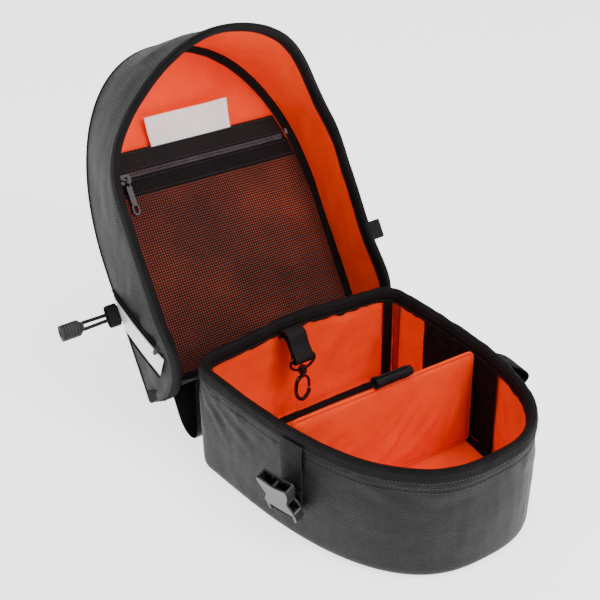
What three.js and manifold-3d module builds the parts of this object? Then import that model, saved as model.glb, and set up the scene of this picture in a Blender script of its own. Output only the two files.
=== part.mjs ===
// Rack-top pannier bag for a bicycle: a tongue-shaped tub with a hooded lid that folds back on its
// flat end.
// Millimetres, +Z up, origin at the bottom centre of the base, nose toward -Y, lid hinge at +Y.
import * as THREE from "three";
import { mergeVertices } from "three/addons/utils/BufferGeometryUtils.js";
import Module from "manifold-3d";

const wasm = await Module();
wasm.setup();

// ---------------------------------------------------------------- driving dimensions
const GAP = 0.4; // clearance between sewn layers that touch
const WEBBING = 1.6; // thickness of nylon webbing

const TUB = {
  width: 227,
  length: 265,
  height: 107.5,
  straight: 54, // how much of the length the straight sides take
  nosePower: 2.6,
  cornerRadius: 22,
  bow: 4, // how far the back wall bellies out
  belly: 1.5, // how far the side wall bellies out
  edgeRadius: 9, // rounding between wall and base
};
const LAYER = { shell: 2, foam: 2.4, lining: 1.2, board: 2, base: 3, tape: 1 };
const BINDING = { height: 12, thick: 1.2 };

const LID = {
  halfWidth: TUB.width / 2 + 8.5,
  rimHalfWidth: TUB.width / 2 + 7.9, // clears the tub's rim binding when the lid shuts
  tail: -25, // where the panel ends, behind the hinge line
  sideEnd: TUB.length - 168, // where the panel's straight side turns into the nose
  nose: TUB.length + 22,
  nosePower: 2.2,
  rimTurn: TUB.length - 115, // where the rim's straight side turns into the nose
  rimNose: TUB.length + 9,
  depth: 70, // gusset depth along the sides
  hood: 53, // extra depth at the nose
  hoodStart: TUB.length - 90,
  cornerRise: 30, // gusset depth left at the rounded tail corner
  cornerLength: 41,
  wall: 1.8,
  panel: 2.4,
};
const HINGE = { y: TUB.length / 2 + 6.5, z: TUB.height - 23.5, along: -10.5, depth: LID.depth - 1.7,
  openAngle: 120.8 };

const DIVIDER = { y: 4, halfWidth: TUB.width / 2 - 16.5, thick: 10, top: TUB.height - 5.5 };
const LOOP_FIELD = { front: -28, back: 72, bottom: 10, thick: 1.2 };
const STRAP = { width: 25, y: -11, bottom: 34 };
const SOCKET = { width: 34, length: 42, thick: 11, wall: 1.8, bar: 3.6, slot: 6, lean: 20 };
const PLUG = { width: 30, length: 40, thick: 5, along: LID.nose / 2 - 5.5, strap: 30 };
const PULL_TAB = { along: 58, depth: 65, width: 18, reach: 12 };
const CORD_PULL = { width: 16, length: 24, thick: 8 };
const KEY = { x: -12, width: 20, wire: 2.6 };
const POCKET = { top: LID.nose - 91, coil: LID.nose - 112, tape: 16, bottom: -10, thick: 1.2 };
const SLIDER = { x: 42.5 - LID.halfWidth, width: 9, length: 11 };
const CORD = { diameter: 3.4, reach: 38 }; // reach: how far its two ends stand out past the lid
const STRIP = { width: 20, thick: 0.8 };

// ---------------------------------------------------------------- small geometry tools
const V = (x, y, z) => new THREE.Vector3(x, y, z);
const rad = THREE.MathUtils.degToRad;
const lerp = THREE.MathUtils.lerp;
const range = (n) => Array.from({ length: n }, (_, i) => i);
const steps = (a, b, n) => range(n + 1).map((i) => lerp(a, b, i / n));

// A closed solid from columns of outer and inner points; a ring joins its last column to its first.
function band(columns, ring = false) {
  const rows = columns[0].outer.length;
  const loop = columns.map((c) => [...c.outer, ...[...c.inner].reverse()]);
  const size = rows * 2;
  const position = loop.flat().flatMap((p) => [p.x, p.y, p.z]);
  const index = [];
  const quad = (a, b, c, d) => index.push(a, b, c, a, c, d);
  const count = columns.length;
  for (let i = 0; i < (ring ? count : count - 1); i++) {
    const j = (i + 1) % count;
    for (let k = 0; k < size; k++) {
      const m = (k + 1) % size;
      quad(i * size + k, j * size + k, j * size + m, i * size + m);
    }
  }
  if (!ring) {
    const last = (count - 1) * size;
    for (let k = 0; k < rows - 1; k++) {
      quad(k, k + 1, size - 2 - k, size - 1 - k);
      quad(last + size - 1 - k, last + size - 2 - k, last + k + 1, last + k);
    }
  }
  return closed(position, index);
}

// Merges shared vertices and turns the faces outward.
function closed(position, index) {
  const raw = new THREE.BufferGeometry();
  raw.setAttribute("position", new THREE.Float32BufferAttribute(position, 3));
  raw.setIndex(index);
  const g = mergeVertices(raw, 1e-4);
  if (volume(g) < 0) {
    const at = g.index.array;
    for (let i = 0; i < at.length; i += 3) [at[i + 1], at[i + 2]] = [at[i + 2], at[i + 1]];
  }
  g.computeVertexNormals();
  return g;
}

function volume(g) {
  const p = g.attributes.position;
  const at = g.index.array;
  const [a, b, c] = [V(), V(), V()];
  let sum = 0;
  for (let i = 0; i < at.length; i += 3) {
    a.fromBufferAttribute(p, at[i]);
    b.fromBufferAttribute(p, at[i + 1]);
    c.fromBufferAttribute(p, at[i + 2]);
    sum += a.dot(b.cross(c)) / 6;
  }
  return sum;
}

function solid(geometry) {
  const g = geometry.clone();
  g.deleteAttribute("normal");
  g.deleteAttribute("uv");
  const m = mergeVertices(g, 1e-4);
  return new wasm.Manifold(
    new wasm.Mesh({
      numProp: 3,
      vertProperties: m.attributes.position.array,
      triVerts: new Uint32Array(m.index.array),
    }),
  );
}

function geometryOf(manifold) {
  const m = manifold.getMesh();
  const g = new THREE.BufferGeometry();
  g.setAttribute("position", new THREE.BufferAttribute(m.vertProperties, 3));
  g.setIndex(new THREE.BufferAttribute(m.triVerts, 1));
  g.computeVertexNormals();
  return g;
}

const join = (...parts) => geometryOf(parts.map(solid).reduce((a, b) => a.add(b)));
const cut = (from, ...tools) => geometryOf(tools.map(solid).reduce((a, b) => a.subtract(b), solid(from)));

// A flat outline in XY, raised along +Z.
function plate(points, thick, holes = []) {
  const shape = new THREE.Shape(points.map(([x, y]) => new THREE.Vector2(x, y)));
  shape.holes = holes.map((h) => new THREE.Path(h.map(([x, y]) => new THREE.Vector2(x, y))));
  return new THREE.ExtrudeGeometry(shape, { depth: thick, bevelEnabled: false });
}

const box = (w, l, h, x = 0, y = 0, z = 0) => new THREE.BoxGeometry(w, l, h).translate(x, y, z);

const roundBox = (w, l, r) =>
  [[1, 1, 0], [-1, 1, 90], [-1, -1, 180], [1, -1, 270]].flatMap(([sx, sy, start]) =>
    steps(start, start + 90, 3).map((a) => [
      sx * (w / 2 - r) + r * Math.cos(rad(a)),
      sy * (l / 2 - r) + r * Math.sin(rad(a)),
    ]),
  );

// A round rod along a smooth curve through the points.
function rod(points, diameter, count, sides = 8, loop = false) {
  const curve = new THREE.CatmullRomCurve3(points, loop, "centripetal");
  const section = new THREE.Shape(
    range(sides).map((i) => {
      const a = (2 * Math.PI * i) / sides;
      return new THREE.Vector2((diameter / 2) * Math.cos(a), (diameter / 2) * Math.sin(a));
    }),
  );
  return new THREE.ExtrudeGeometry(section, { steps: count, extrudePath: curve, bevelEnabled: false });
}

// A strap: webbing of a given width laid along a path, its width in the direction "across".
function strap(path, across, width, thick = WEBBING) {
  const half = across.clone().normalize().multiplyScalar(width / 2);
  return band(
    path.map((p, i) => {
      const before = path[Math.max(i - 1, 0)];
      const after = path[Math.min(i + 1, path.length - 1)];
      const normal = after.clone().sub(before).cross(across).setLength(thick / 2);
      const edge = (side, face) => p.clone().addScaledVector(half, side).addScaledVector(normal, face);
      return { outer: [edge(-1, 1), edge(1, 1)], inner: [edge(-1, -1), edge(1, -1)] };
    }),
  );
}

// ---------------------------------------------------------------- colours and finishes
const FINISH = {
  shell: ["#4a484a", 0.55, 0],
  lining: ["#ff5a28", 0.7, 0],
  webbing: ["#2b2528", 0.85, 0],
  loop: ["#1d1a1c", 0.95, 0],
  foam: ["#6a6a6a", 0.9, 0],
  board: ["#2a2a2c", 0.6, 0],
  mesh: ["#8a3428", 0.8, 0],
  plastic: ["#3a383a", 0.4, 0],
  coil: ["#1c1b1d", 0.5, 0],
  metal: ["#303034", 0.35, 0.8],
  reflective: ["#dfe6ea", 0.35, 0.1],
  label: ["#f5f2f2", 0.6, 0],
  cord: ["#2a241f", 0.8, 0],
};

const bag = new THREE.Group();
const lidFrame = new THREE.Group(); // x across, y along the lid toward its nose, z from panel to rim
const lidHinge = new THREE.Group();
lidHinge.position.set(0, HINGE.y, HINGE.z);
lidHinge.rotation.x = rad(180 - HINGE.openAngle);
lidFrame.position.set(0, -HINGE.along, -HINGE.depth);
lidHinge.add(lidFrame);
bag.add(lidHinge);

function add(name, geometry, finish, parent = bag) {
  const [color, roughness, metalness] = FINISH[finish];
  const mesh = new THREE.Mesh(geometry, new THREE.MeshStandardMaterial({ color, roughness, metalness }));
  mesh.name = name;
  parent.add(mesh);
  return mesh;
}

// ---------------------------------------------------------------- tub outline
const SIDE = TUB.width / 2;
const BACK = TUB.length / 2;
const NOSE_LENGTH = TUB.length - TUB.straight;
const NOSE_START = -BACK + NOSE_LENGTH;

// Half-width of the tub at a station y, a distance "inset" inside its outer face.
function tubHalf(y, inset = 0) {
  const s = Math.min(Math.max((NOSE_START - y) / (NOSE_LENGTH - inset), 0), 1);
  return (SIDE - inset) * (1 - s ** TUB.nosePower) ** (1 / TUB.nosePower);
}

// The whole outline, from the middle of the back round by the right side, the nose and the left side.
function tubOutline(inset) {
  const a = SIDE - inset;
  const r = TUB.cornerRadius - inset;
  const back = BACK - inset;
  const half = [
    ...steps(0, a - r, 5).map((x) => [x, back]),
    ...steps(0, 90, 5).slice(1).map((t) => [a - r + r * Math.sin(rad(t)),
      back - r + r * Math.cos(rad(t))]),
    [a, lerp(back - r, NOSE_START, 0.5)],
    ...steps(0, 90, 18).map((t) => [
      a * Math.cos(rad(t)) ** (2 / TUB.nosePower),
      NOSE_START - (NOSE_LENGTH - inset) * Math.sin(rad(t)) ** (2 / TUB.nosePower),
    ]),
  ];
  const bowed = half.map(([x, y]) => {
    const share = Math.min(Math.max((y - back + r) / r, 0), 1);
    return [x, y + share * TUB.bow * (1 - (x / a) ** 2)];
  });
  const mirrored = bowed.slice(1, -1).reverse().map(([x, y]) => [-x, y]);
  return [...bowed, ...mirrored];
}

// A ring that follows the tub's outline; each profile point is [inset, z].
function tubRing(outer, inner) {
  const outlines = new Map();
  const ringAt = (inset) => {
    if (!outlines.has(inset)) outlines.set(inset, tubOutline(inset));
    return outlines.get(inset);
  };
  const point = (i) => ([inset, z]) => V(...ringAt(inset)[i], z);
  return band(range(tubOutline(0).length).map((i) => ({ outer: outer.map(point(i)),
    inner: inner.map(point(i)) })), true);
}

const LINING_OUT = LAYER.shell + LAYER.foam + 2 * GAP;
const LINING_IN = LINING_OUT + LAYER.lining;
const WALL_TOP = TUB.height - BINDING.thick - GAP;
const FLOOR = LAYER.base + LAYER.board + LAYER.lining + 3 * GAP;

function tubParts() {
  const e = TUB.edgeRadius;
  const out = [[e, GAP], [0.4 * e, 0.12 * e], [0.08 * e, 0.55 * e], [0, 1.3 * e], [-TUB.belly, 45],
    [0, WALL_TOP]];
  const within = out.map(([i, z]) => [i + LAYER.shell,
    z < 1 ? GAP + LAYER.shell : z + (z < e ? 1.2 : 0)]);
  within[within.length - 1][1] = WALL_TOP;
  add("tub_wall", tubRing(out, within), "shell");
  const baseInset = e + LAYER.shell + GAP;
  add("tub_base", plate(tubOutline(baseInset), LAYER.base), "shell");
  add("base_board", plate(tubOutline(baseInset), LAYER.board).translate(0, 0, LAYER.base + GAP), "board");
  const foam = [LAYER.shell + GAP, LAYER.shell + GAP + LAYER.foam];
  const foamZ = [e + 5, WALL_TOP - 1];
  add("wall_foam", tubRing(foamZ.map((z) => [foam[0], z]), foamZ.map((z) => [foam[1], z])), "foam");
  const lowIn = LINING_IN + 4;
  const floorTop = FLOOR;
  const wall = tubRing(
    [[lowIn + 2, floorTop - LAYER.lining], [LINING_OUT, e + 4], [LINING_OUT, WALL_TOP]],
    [[lowIn + 2.4, floorTop], [LINING_IN, e + 5], [LINING_IN, WALL_TOP]],
  );
  const floor = plate(tubOutline(lowIn), LAYER.lining).translate(0, 0, floorTop - LAYER.lining);
  add("tub_lining", join(wall, floor), "lining");
  const b = BINDING.thick;
  const foot = TUB.height - BINDING.height;
  add("tub_rim_binding", tubRing(
    [[-GAP - b, foot], [-GAP - b, TUB.height - 1], [0.5, TUB.height], [LINING_IN, TUB.height],
      [LINING_IN + GAP + b, TUB.height - 1], [LINING_IN + GAP + b, foot]],
    [[-GAP, foot], [-GAP, WALL_TOP + GAP], [0.6, WALL_TOP + GAP], [LINING_IN - 0.2, WALL_TOP + GAP],
      [LINING_IN + GAP, WALL_TOP + GAP], [LINING_IN + GAP, foot]],
  ), "webbing");
}

// Tape over the upright seam in each back corner.
function cornerTapes() {
  for (const [side, label] of [[-1, "left"], [1, "right"]]) {
    const inset = LINING_IN + GAP;
    const r = TUB.cornerRadius - inset;
    const path = (offset) =>
      steps(25, 65, 4).map((t) => [
        side * (SIDE - inset - r + (r - offset) * Math.sin(rad(t))),
        BACK - inset - r + (r - offset) * Math.cos(rad(t)),
      ]);
    const [z0, z1] = [FLOOR + 8, TUB.height - BINDING.height - GAP];
    const columns = path(0).map(([x, y], i) => {
      const [u, v] = path(LAYER.tape)[i];
      return { outer: [V(x, y, z0), V(x, y, z1)], inner: [V(u, v, z0), V(u, v, z1)] };
    });
    add(`corner_tape_${label}`, band(columns), "webbing");
  }
}

// Loop-pile fields on the side walls, which the divider's hook tabs grip.
function loopFields() {
  const top = TUB.height - BINDING.height - GAP;
  const inset = LINING_IN + GAP;
  for (const [side, label] of [[-1, "left"], [1, "right"]]) {
    const columns = steps(LOOP_FIELD.front, LOOP_FIELD.back, 8).map((y) => {
      const wall = (more) => (z) => V(side * (tubHalf(y, inset + more)), y, z);
      const zs = [LOOP_FIELD.bottom + 5, top];
      return { outer: zs.map(wall(0)), inner: zs.map(wall(LOOP_FIELD.thick)) };
    });
    add(`loop_field_${label}`, band(columns), "loop");
  }
}

// ---------------------------------------------------------------- divider
function divider() {
  const { y, halfWidth, thick, top } = DIVIDER;
  const bottom = FLOOR + 1;
  const height = top - bottom;
  const pad = plate(roundBox(halfWidth * 2, height, 9), thick)
    .rotateX(rad(90))
    .translate(0, y + thick / 2, (top + bottom) / 2);
  add("divider_pad", pad, "lining");
  for (const [side, label] of [[-1, "left"], [1, "right"]]) {
    add(`divider_hook_tab_${label}`, box(1.4, thick - 2, 60, side * (halfWidth + GAP + 0.7), y, 48),
      "loop");
  }
  const r = 5.5;
  const loop = steps(-60, 240, 10).map((a) =>
    V(8, y + r * Math.cos(rad(a)), top + GAP + WEBBING + 0.6 + r + r * Math.sin(rad(a))),
  );
  const foot = [V(8, y - 1.2, top + GAP + 0.2), ...loop.reverse(), V(8, y + 1.2, top + GAP + 0.2)];
  add("divider_grab_loop", strap(foot, V(1, 0, 0), 38, 1.4), "webbing");
}

// ---------------------------------------------------------------- key leash on the back wall
function keyLeash() {
  const x = KEY.x;
  const face = BACK + TUB.bow - LINING_IN - GAP - BINDING.thick - GAP - 1;
  const top = TUB.height - 4;
  const eyeY = face - 22;
  const eyeZ = top - 18;
  const outPath = [V(x, face, top - 2), V(x, face - 5, top), V(x, face - 14, top - 3), V(x,
    eyeY - 3.5, eyeZ + 2)];
  const under = [V(x, eyeY - 4, eyeZ - 2.5), V(x, eyeY, eyeZ - 4.4), V(x, eyeY + 4, eyeZ - 2)];
  const back = [V(x, eyeY + 5.4, eyeZ + 5), V(x, face - 11, top - 6)];
  add("key_strap", strap([...outPath, ...under, ...back], V(1, 0, 0), KEY.width), "webbing");
  const w = KEY.width / 2 + 2.4;
  const bailPath = [
    V(x - w, eyeY, eyeZ), V(x + w, eyeY, eyeZ), V(x + w, eyeY, eyeZ - 7), V(x + 5, eyeY, eyeZ - 11.5),
    V(x - 5, eyeY, eyeZ - 11.5), V(x - w, eyeY, eyeZ - 7),
  ];
  const bail = rod(bailPath, KEY.wire, 30, 8, true);
  const socketZ = eyeZ - 13;
  const boss = new THREE.CylinderGeometry(4.2, 4.2, 4.4, 12).rotateX(rad(90)).translate(x, eyeY, socketZ);
  const bore = new THREE.CylinderGeometry(1.9, 1.9, 9, 10).rotateX(rad(90)).translate(x, eyeY, socketZ);
  add("key_bail", cut(join(bail, boss), bore), "plastic");
  const stem = new THREE.CylinderGeometry(1.5, 1.5, 9, 10).rotateX(rad(90)).translate(x, eyeY,
    socketZ - 1.4);
  const head = new THREE.CylinderGeometry(2.9, 2.9, 1.6, 10).rotateX(rad(90)).translate(x, eyeY,
    socketZ + 3.4);
  const hz = socketZ - 5.8;
  const hookPath = [
    V(x, eyeY, hz), V(x - 5, eyeY, hz - 3), V(x - 7.4, eyeY, hz - 11), V(x - 6.4, eyeY, hz - 20),
    V(x, eyeY, hz - 26), V(x + 6.6, eyeY, hz - 21), V(x + 7.6, eyeY, hz - 17),
  ];
  const hook = rod(hookPath, 3.6, 28, 8);
  const nub = new THREE.SphereGeometry(2.7, 8, 6).translate(x, eyeY, hz + 0.4);
  add("key_hook", join(hook, nub, stem, head), "plastic");
  const gatePath = [V(x + 3.4, eyeY, hz - 1.6), V(x + 6.6, eyeY, hz - 6), V(x + 7.4, eyeY, hz - 14.6)];
  add("key_gate", rod(gatePath, 2.6, 8, 8), "plastic");
}

// ---------------------------------------------------------------- side straps and buckle sockets
const WALL_TURN = 9; // the wall's own angle where the strap hangs, in degrees

function strapFrame(side) {
  const g = new THREE.Group();
  g.position.set(side * (tubHalf(STRAP.y) + TUB.belly + GAP), STRAP.y, 0);
  g.rotation.z = side > 0 ? rad(WALL_TURN * -1) : rad(180 + WALL_TURN);
  bag.add(g);
  return g; // local x outward, y along the wall, z up
}

function socketGeometry() {
  const { width, length, thick, wall } = SOCKET;
  const w = width / 2;
  const half = [
    [w, length], [w, length - 6], [w * 0.76, length * 0.5], [w * 0.78, length * 0.44], [w * 0.93,
      length * 0.38],
    [w * 0.95, length * 0.1], [w * 0.8, 0],
  ];
  const outline = [...half, ...[...half].reverse().map(([x, y]) => [-x, y])];
  const { bar, slot } = SOCKET;
  const inner = thick - 2 * wall;
  const slotHalf = STRAP.width / 2 + 0.8;
  const body = plate(outline, thick).translate(0, 0, -thick / 2);
  const opening = box(slotHalf * 2, slot, thick + 2, 0, bar + slot / 2, 0);
  const besideBar = [-1, 1].map((s) => box(slotHalf * 2, bar + 2, thick / 2, 0, bar / 2 - 0.9,
    s * (bar / 2 + thick / 4)));
  const root = bar + slot + 3; // where the hollow for the plug ends
  const windows = [-1, 1].map((s) => box(8, 9, inner, s * w * 0.95, root + 4.6, 0));
  const narrow = box(width * 0.52, length - root, inner, 0, (length + root) / 2, 0);
  const mouth = plate(
    [[-w + wall + 0.6, length + 1], [-w + wall + 0.6, length - 6], [-w * 0.76 + wall + 0.4,
      length * 0.52],
      [w * 0.76 - wall - 0.4, length * 0.52], [w - wall - 0.6, length - 6], [w - wall - 0.6, length + 1]],
    inner,
  ).translate(0, 0, -inner / 2);
  return cut(body, opening, ...besideBar, narrow, mouth, ...windows);
}

function sideStraps() {
  for (const [side, label] of [[-1, "left"], [1, "right"]]) {
    const g = strapFrame(side);
    const top = TUB.height - BINDING.height - 0.6;
    const t = WEBBING / 2;
    const z = STRAP.bottom;
    const eye = t + 6.6; // the bar stands this far off the wall
    const r = SOCKET.bar / 2 + 1.1 + WEBBING / 2;
    const round = steps(200, 400, 8).map((a) => V(eye + r * Math.cos(rad(a)), 0,
      z + r * Math.sin(rad(a))));
    const path = [
      V(t, 0, top), V(t + 0.8, 0, top - 8), V(t + 0.4, 0, top - 22), V(t, 0, z + 14), V(t + 0.4, 0,
        z + 4),
      ...round, V(eye - 0.8, 0, z + 5), V(t + 2.5, 0, z + 9), V(t + 2.1, 0, z + 22),
    ];
    add(`buckle_strap_${label}`, strap(path, V(0, 1, 0), STRAP.width), "webbing", g);
    const pivot = new THREE.Group();
    pivot.position.set(eye, 0, z);
    pivot.rotation.y = rad(SOCKET.lean);
    g.add(pivot);
    const socket = socketGeometry().translate(0, -SOCKET.bar / 2, 0).rotateX(rad(90)).rotateZ(rad(90));
    add(`buckle_socket_${label}`, socket, "plastic", pivot);
  }
}

// ---------------------------------------------------------------- lid outlines, in the lid's own frame
// Half of each outline is a row of stations from tail to apex: rounded corner, straight side, nose.
const CORNER_STATIONS = 5;
const NOSE_STATIONS = 13;

const cornerAlong = (t) => LID.tail + LID.cornerLength * (1 - Math.cos(rad(t)));

function panelHalf(inset = 0) {
  const a = LID.halfWidth - inset;
  return [
    ...steps(0, 90, CORNER_STATIONS - 1).map((t) => [a, cornerAlong(t)]),
    ...steps(cornerAlong(90), LID.sideEnd, 2).slice(1).map((v) => [a, v]),
    ...steps(0, 90, NOSE_STATIONS).slice(1).map((t) => [
      Math.max(a * Math.cos(rad(t)), 0) ** (2 / LID.nosePower) * a ** (1 - 2 / LID.nosePower),
      LID.sideEnd + (LID.nose - LID.sideEnd - inset) * Math.sin(rad(t)) ** (2 / LID.nosePower),
    ]),
  ];
}

function hoodDepth(v) {
  const q = Math.min(Math.max((v - LID.hoodStart) / (LID.rimNose - LID.hoodStart), 0), 1) ** 1.25;
  return LID.depth + LID.hood * q * q * (3 - 2 * q);
}

// The rim's edge: [half-width, along, depth].
function rimHalf() {
  const a = LID.rimHalfWidth;
  const below = LID.depth + 5 - LID.cornerRise;
  const corner = steps(0, 90, CORNER_STATIONS - 1).map((t) => [
    a, cornerAlong(t), LID.cornerRise + below * Math.sin(rad(t)),
  ]);
  const side = steps(cornerAlong(90), LID.rimTurn, 2).slice(1).map((v) => [a, v, LID.depth]);
  const nose = steps(0, 90, NOSE_STATIONS).slice(1).map((t) => {
    const v = LID.rimTurn + (LID.rimNose - LID.rimTurn) * Math.sin(rad(t));
    return [Math.max(a * Math.cos(rad(t)), 0), v, hoodDepth(v)];
  });
  return [...corner, ...side, ...nose];
}

const bothSides = (half, mirror) => [...half, ...half.slice(0, -1).reverse().map(mirror)];
const PANEL_EDGE = bothSides(panelHalf(), ([x, v]) => [-x, v]);
const RIM_EDGE = bothSides(rimHalf(), ([x, v, d]) => [-x, v, d]);

// A point of the gusset: station i round the lid, share 0 at the panel to 1 at the rim.
function gussetFace(i, share) {
  const [x, v] = PANEL_EDGE[i];
  const [rx, rv, rd] = RIM_EDGE[i];
  return V(lerp(x, rx, share), lerp(v, rv, share), rd * share);
}

// The same point pushed inward, square to the gusset.
function gussetPoint(i, share, inset) {
  const last = PANEL_EDGE.length - 1;
  const along = gussetFace(Math.min(i + 1, last), share).sub(gussetFace(Math.max(i - 1, 0), share));
  const down = gussetFace(i, 1).sub(gussetFace(i, 0));
  const inward = along.cross(down).normalize();
  return gussetFace(i, share).addScaledVector(inward, -inset);
}

const STATIONS = range(PANEL_EDGE.length);
const share = (i, depth) => depth / RIM_EDGE[i][2];

// A layer of the gusset between two insets, from a depth below the panel to a distance short of the rim.
function gusset(insetOut, insetIn, from, short, rows = 6) {
  return band(STATIONS.map((i) => {
    const shares = steps(share(i, from), 1 - share(i, short), rows);
    return {
      outer: shares.map((s) => gussetPoint(i, s, insetOut)),
      inner: shares.map((s) => gussetPoint(i, s, insetIn)),
    };
  }));
}

const panelOutline = (inset) => bothSides(panelHalf(inset), ([x, v]) => [-x, v]);
const GUSSET_IN = LID.wall + 2 * GAP; // the gusset is twisted, so its lining lies a little freer
const LID_LINING = 1;
const BOARD_Z = LID.panel + GAP;
const LID_LINING_Z = BOARD_Z + LID_LINING + GAP;

function lidShell() {
  const tail = ([x, v]) => [x, Math.max(v, LID.tail + 1)];
  add("lid_panel", plate(panelOutline(GUSSET_IN + 0.6), LID.panel), "shell", lidFrame);
  add("lid_gusset", gusset(0, LID.wall, 0, 2), "shell", lidFrame);
  const board = panelOutline(GUSSET_IN + 5).map(tail);
  add("lid_board", plate(board, LID_LINING).translate(0, 0, BOARD_Z), "board", lidFrame);
  const lining = panelOutline(GUSSET_IN + 4).map(tail);
  add("lid_panel_lining", plate(lining, LID_LINING).translate(0, 0, LID_LINING_Z), "lining", lidFrame);
  add("lid_gusset_lining", gusset(GUSSET_IN, GUSSET_IN + LID_LINING, 7, 2.6), "lining", lidFrame);
}

const LAP = 0.8; // clearance of the binding's legs on the twisted gusset

// Webbing folded over the lid's rim: an outer leg, a crown and an inner leg.
function lidBinding() {
  const b = BINDING.thick;
  const inner = GUSSET_IN + LID_LINING + LAP;
  const columns = STATIONS.map((i) => {
    const [leg, top] = [1 - share(i, BINDING.height), 1 - share(i, 1 - GAP)];
    const crown = 1 + share(i, 0.8);
    return {
      outer: [[leg, -LAP - b], [top, -LAP - b], [crown, 0.4], [crown, inner - 0.6], [top, inner + b],
        [leg, inner + b]]
        .map(([s, inset]) => gussetPoint(i, s, inset)),
      inner: [[leg, -LAP], [top, -LAP], [top, 0.6], [top, inner - 0.8], [top - 0.001, inner], [leg,
        inner]]
        .map(([s, inset]) => gussetPoint(i, s, inset)),
    };
  });
  add("lid_rim_binding", band(columns), "webbing", lidFrame);
}

// Tape over the seam between the lid's panel and its gusset, inside.
function seamTape() {
  const out = GUSSET_IN + LID_LINING + GAP + 0.6;
  const columns = STATIONS.slice(1, -1).map((i) => ({
    outer: [9, 16].map((d) => gussetPoint(i, share(i, d), out)),
    inner: [9, 16].map((d) => gussetPoint(i, share(i, d), out + LAYER.tape)),
  }));
  add("lid_seam_tape", band(columns), "webbing", lidFrame);
}

// ---------------------------------------------------------------- mesh pocket and its zipper
const LINING_TOP = LID_LINING_Z + LID_LINING;
const POCKET_Z = LINING_TOP + GAP;

// Half-width of the lid's inside at a station along it, clear of the gusset's lining.
function insideHalf(along, clearance) {
  const s = Math.min(Math.max((along - LID.sideEnd) / (LID.nose - LID.sideEnd), 0), 1);
  return LID.halfWidth * (1 - s ** LID.nosePower) ** (1 / LID.nosePower) - clearance;
}

const EDGE = GUSSET_IN + LID_LINING + LAYER.tape + 3.2;

function flatPiece(from, to, thick, z, clearance = EDGE) {
  const right = steps(from, to, 6).map((v) => [insideHalf(v, clearance), v]);
  const left = [...right].reverse().map(([x, v]) => [-x, v]);
  return plate([...right, ...left], thick).translate(0, 0, z);
}

function meshPocket() {
  const { top, coil, tape, bottom, thick } = POCKET;
  add("pocket_header", flatPiece(coil + 3, top, 1.6, POCKET_Z), "webbing", lidFrame);
  add("pocket_tape", flatPiece(coil - 3 - tape, coil - 3, 1.4, POCKET_Z), "webbing", lidFrame);
  add("pocket_mesh", flatPiece(bottom, coil - 3 - tape - GAP, thick, POCKET_Z), "mesh", lidFrame);
  const half = insideHalf(coil, EDGE) - 3;
  add("zipper_coil", box(half * 2, 5, 2, 0, coil, POCKET_Z + 1), "coil", lidFrame);
  for (const [side, label] of [[-1, "left"], [1, "right"]]) {
    add(`zipper_stop_${label}`, box(2.4, 5.4, 2.4, side * (half + 1.8), coil, POCKET_Z + 1.2),
      "metal", lidFrame);
  }
}

const SLIDER_Z = POCKET_Z + 2 + GAP;
const EYE_Z = SLIDER_Z + 4.2; // middle of the beam that the pull's ring runs round

function zipperSlider() {
  const { x, width, length } = SLIDER;
  const y = POCKET.coil;
  const beam = 1.4;
  const body = plate(roundBox(length, width, 2), 1.6).translate(x, y, SLIDER_Z);
  const high = EYE_Z + beam / 2 - SLIDER_Z - 1.4;
  const arch = plate([[-5, 0], [5, 0], [4.2, high], [-4.2, high]], beam)
    .rotateX(rad(90))
    .translate(x, y + beam / 2, SLIDER_Z + 1.4);
  const slot = box(6.4, 4, EYE_Z - beam / 2 - SLIDER_Z - 1.6, x, y,
    (EYE_Z - beam / 2 + SLIDER_Z + 1.6) / 2);
  add("zipper_slider", cut(join(body, arch), slot), "metal", lidFrame);
  const rounds = roundBox(9.4, 4.4, 2.1).map(([u, w]) => [u - 2.5, w]);
  const eye = roundBox(6, 2.3, 1.1).map(([u, w]) => [u - 1.9, w]);
  const ring = plate(rounds, 1.1, [eye]).translate(0, 0, -0.55).rotateX(rad(90)).rotateZ(rad(90));
  const tab = plate(roundBox(5.6, 19, 2), 1.6).translate(0, -15, -1.9);
  const loop = cut(plate(roundBox(7, 11, 3.2), 1.3), plate(roundBox(4.2, 7.4, 1.9), 3).translate(0,
    0, -0.5));
  const pull = join(ring, tab, loop.translate(0, -28.7, -1.75));
  add("zipper_pull", pull.translate(x, y, EYE_Z), "plastic", lidFrame);
}

function label() {
  const [x0, x1] = [-43, 45];
  const base = POCKET.top + GAP;
  const columns = steps(x0, x1, 8).map((x, i) => {
    const lift = 0.6 * Math.max(i - 6, 0);
    const row = (dz) => [0, 14, 27].map((h, k) => V(x, base + h, POCKET_Z + 0.2 + k * (0.8 + lift) + dz));
    return { outer: row(0.6), inner: row(0) };
  });
  add("blank_label", band(columns), "label", lidFrame);
}

// ---------------------------------------------------------------- outside of the lid
// A point on the gusset's outside at a place along the lid and a depth, stood off by "out".
function gussetSide(side, along, depth, out) {
  const lean = (LID.halfWidth - LID.rimHalfWidth) / LID.depth;
  return V(side * (LID.halfWidth - lean * depth + out), along, depth);
}

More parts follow.
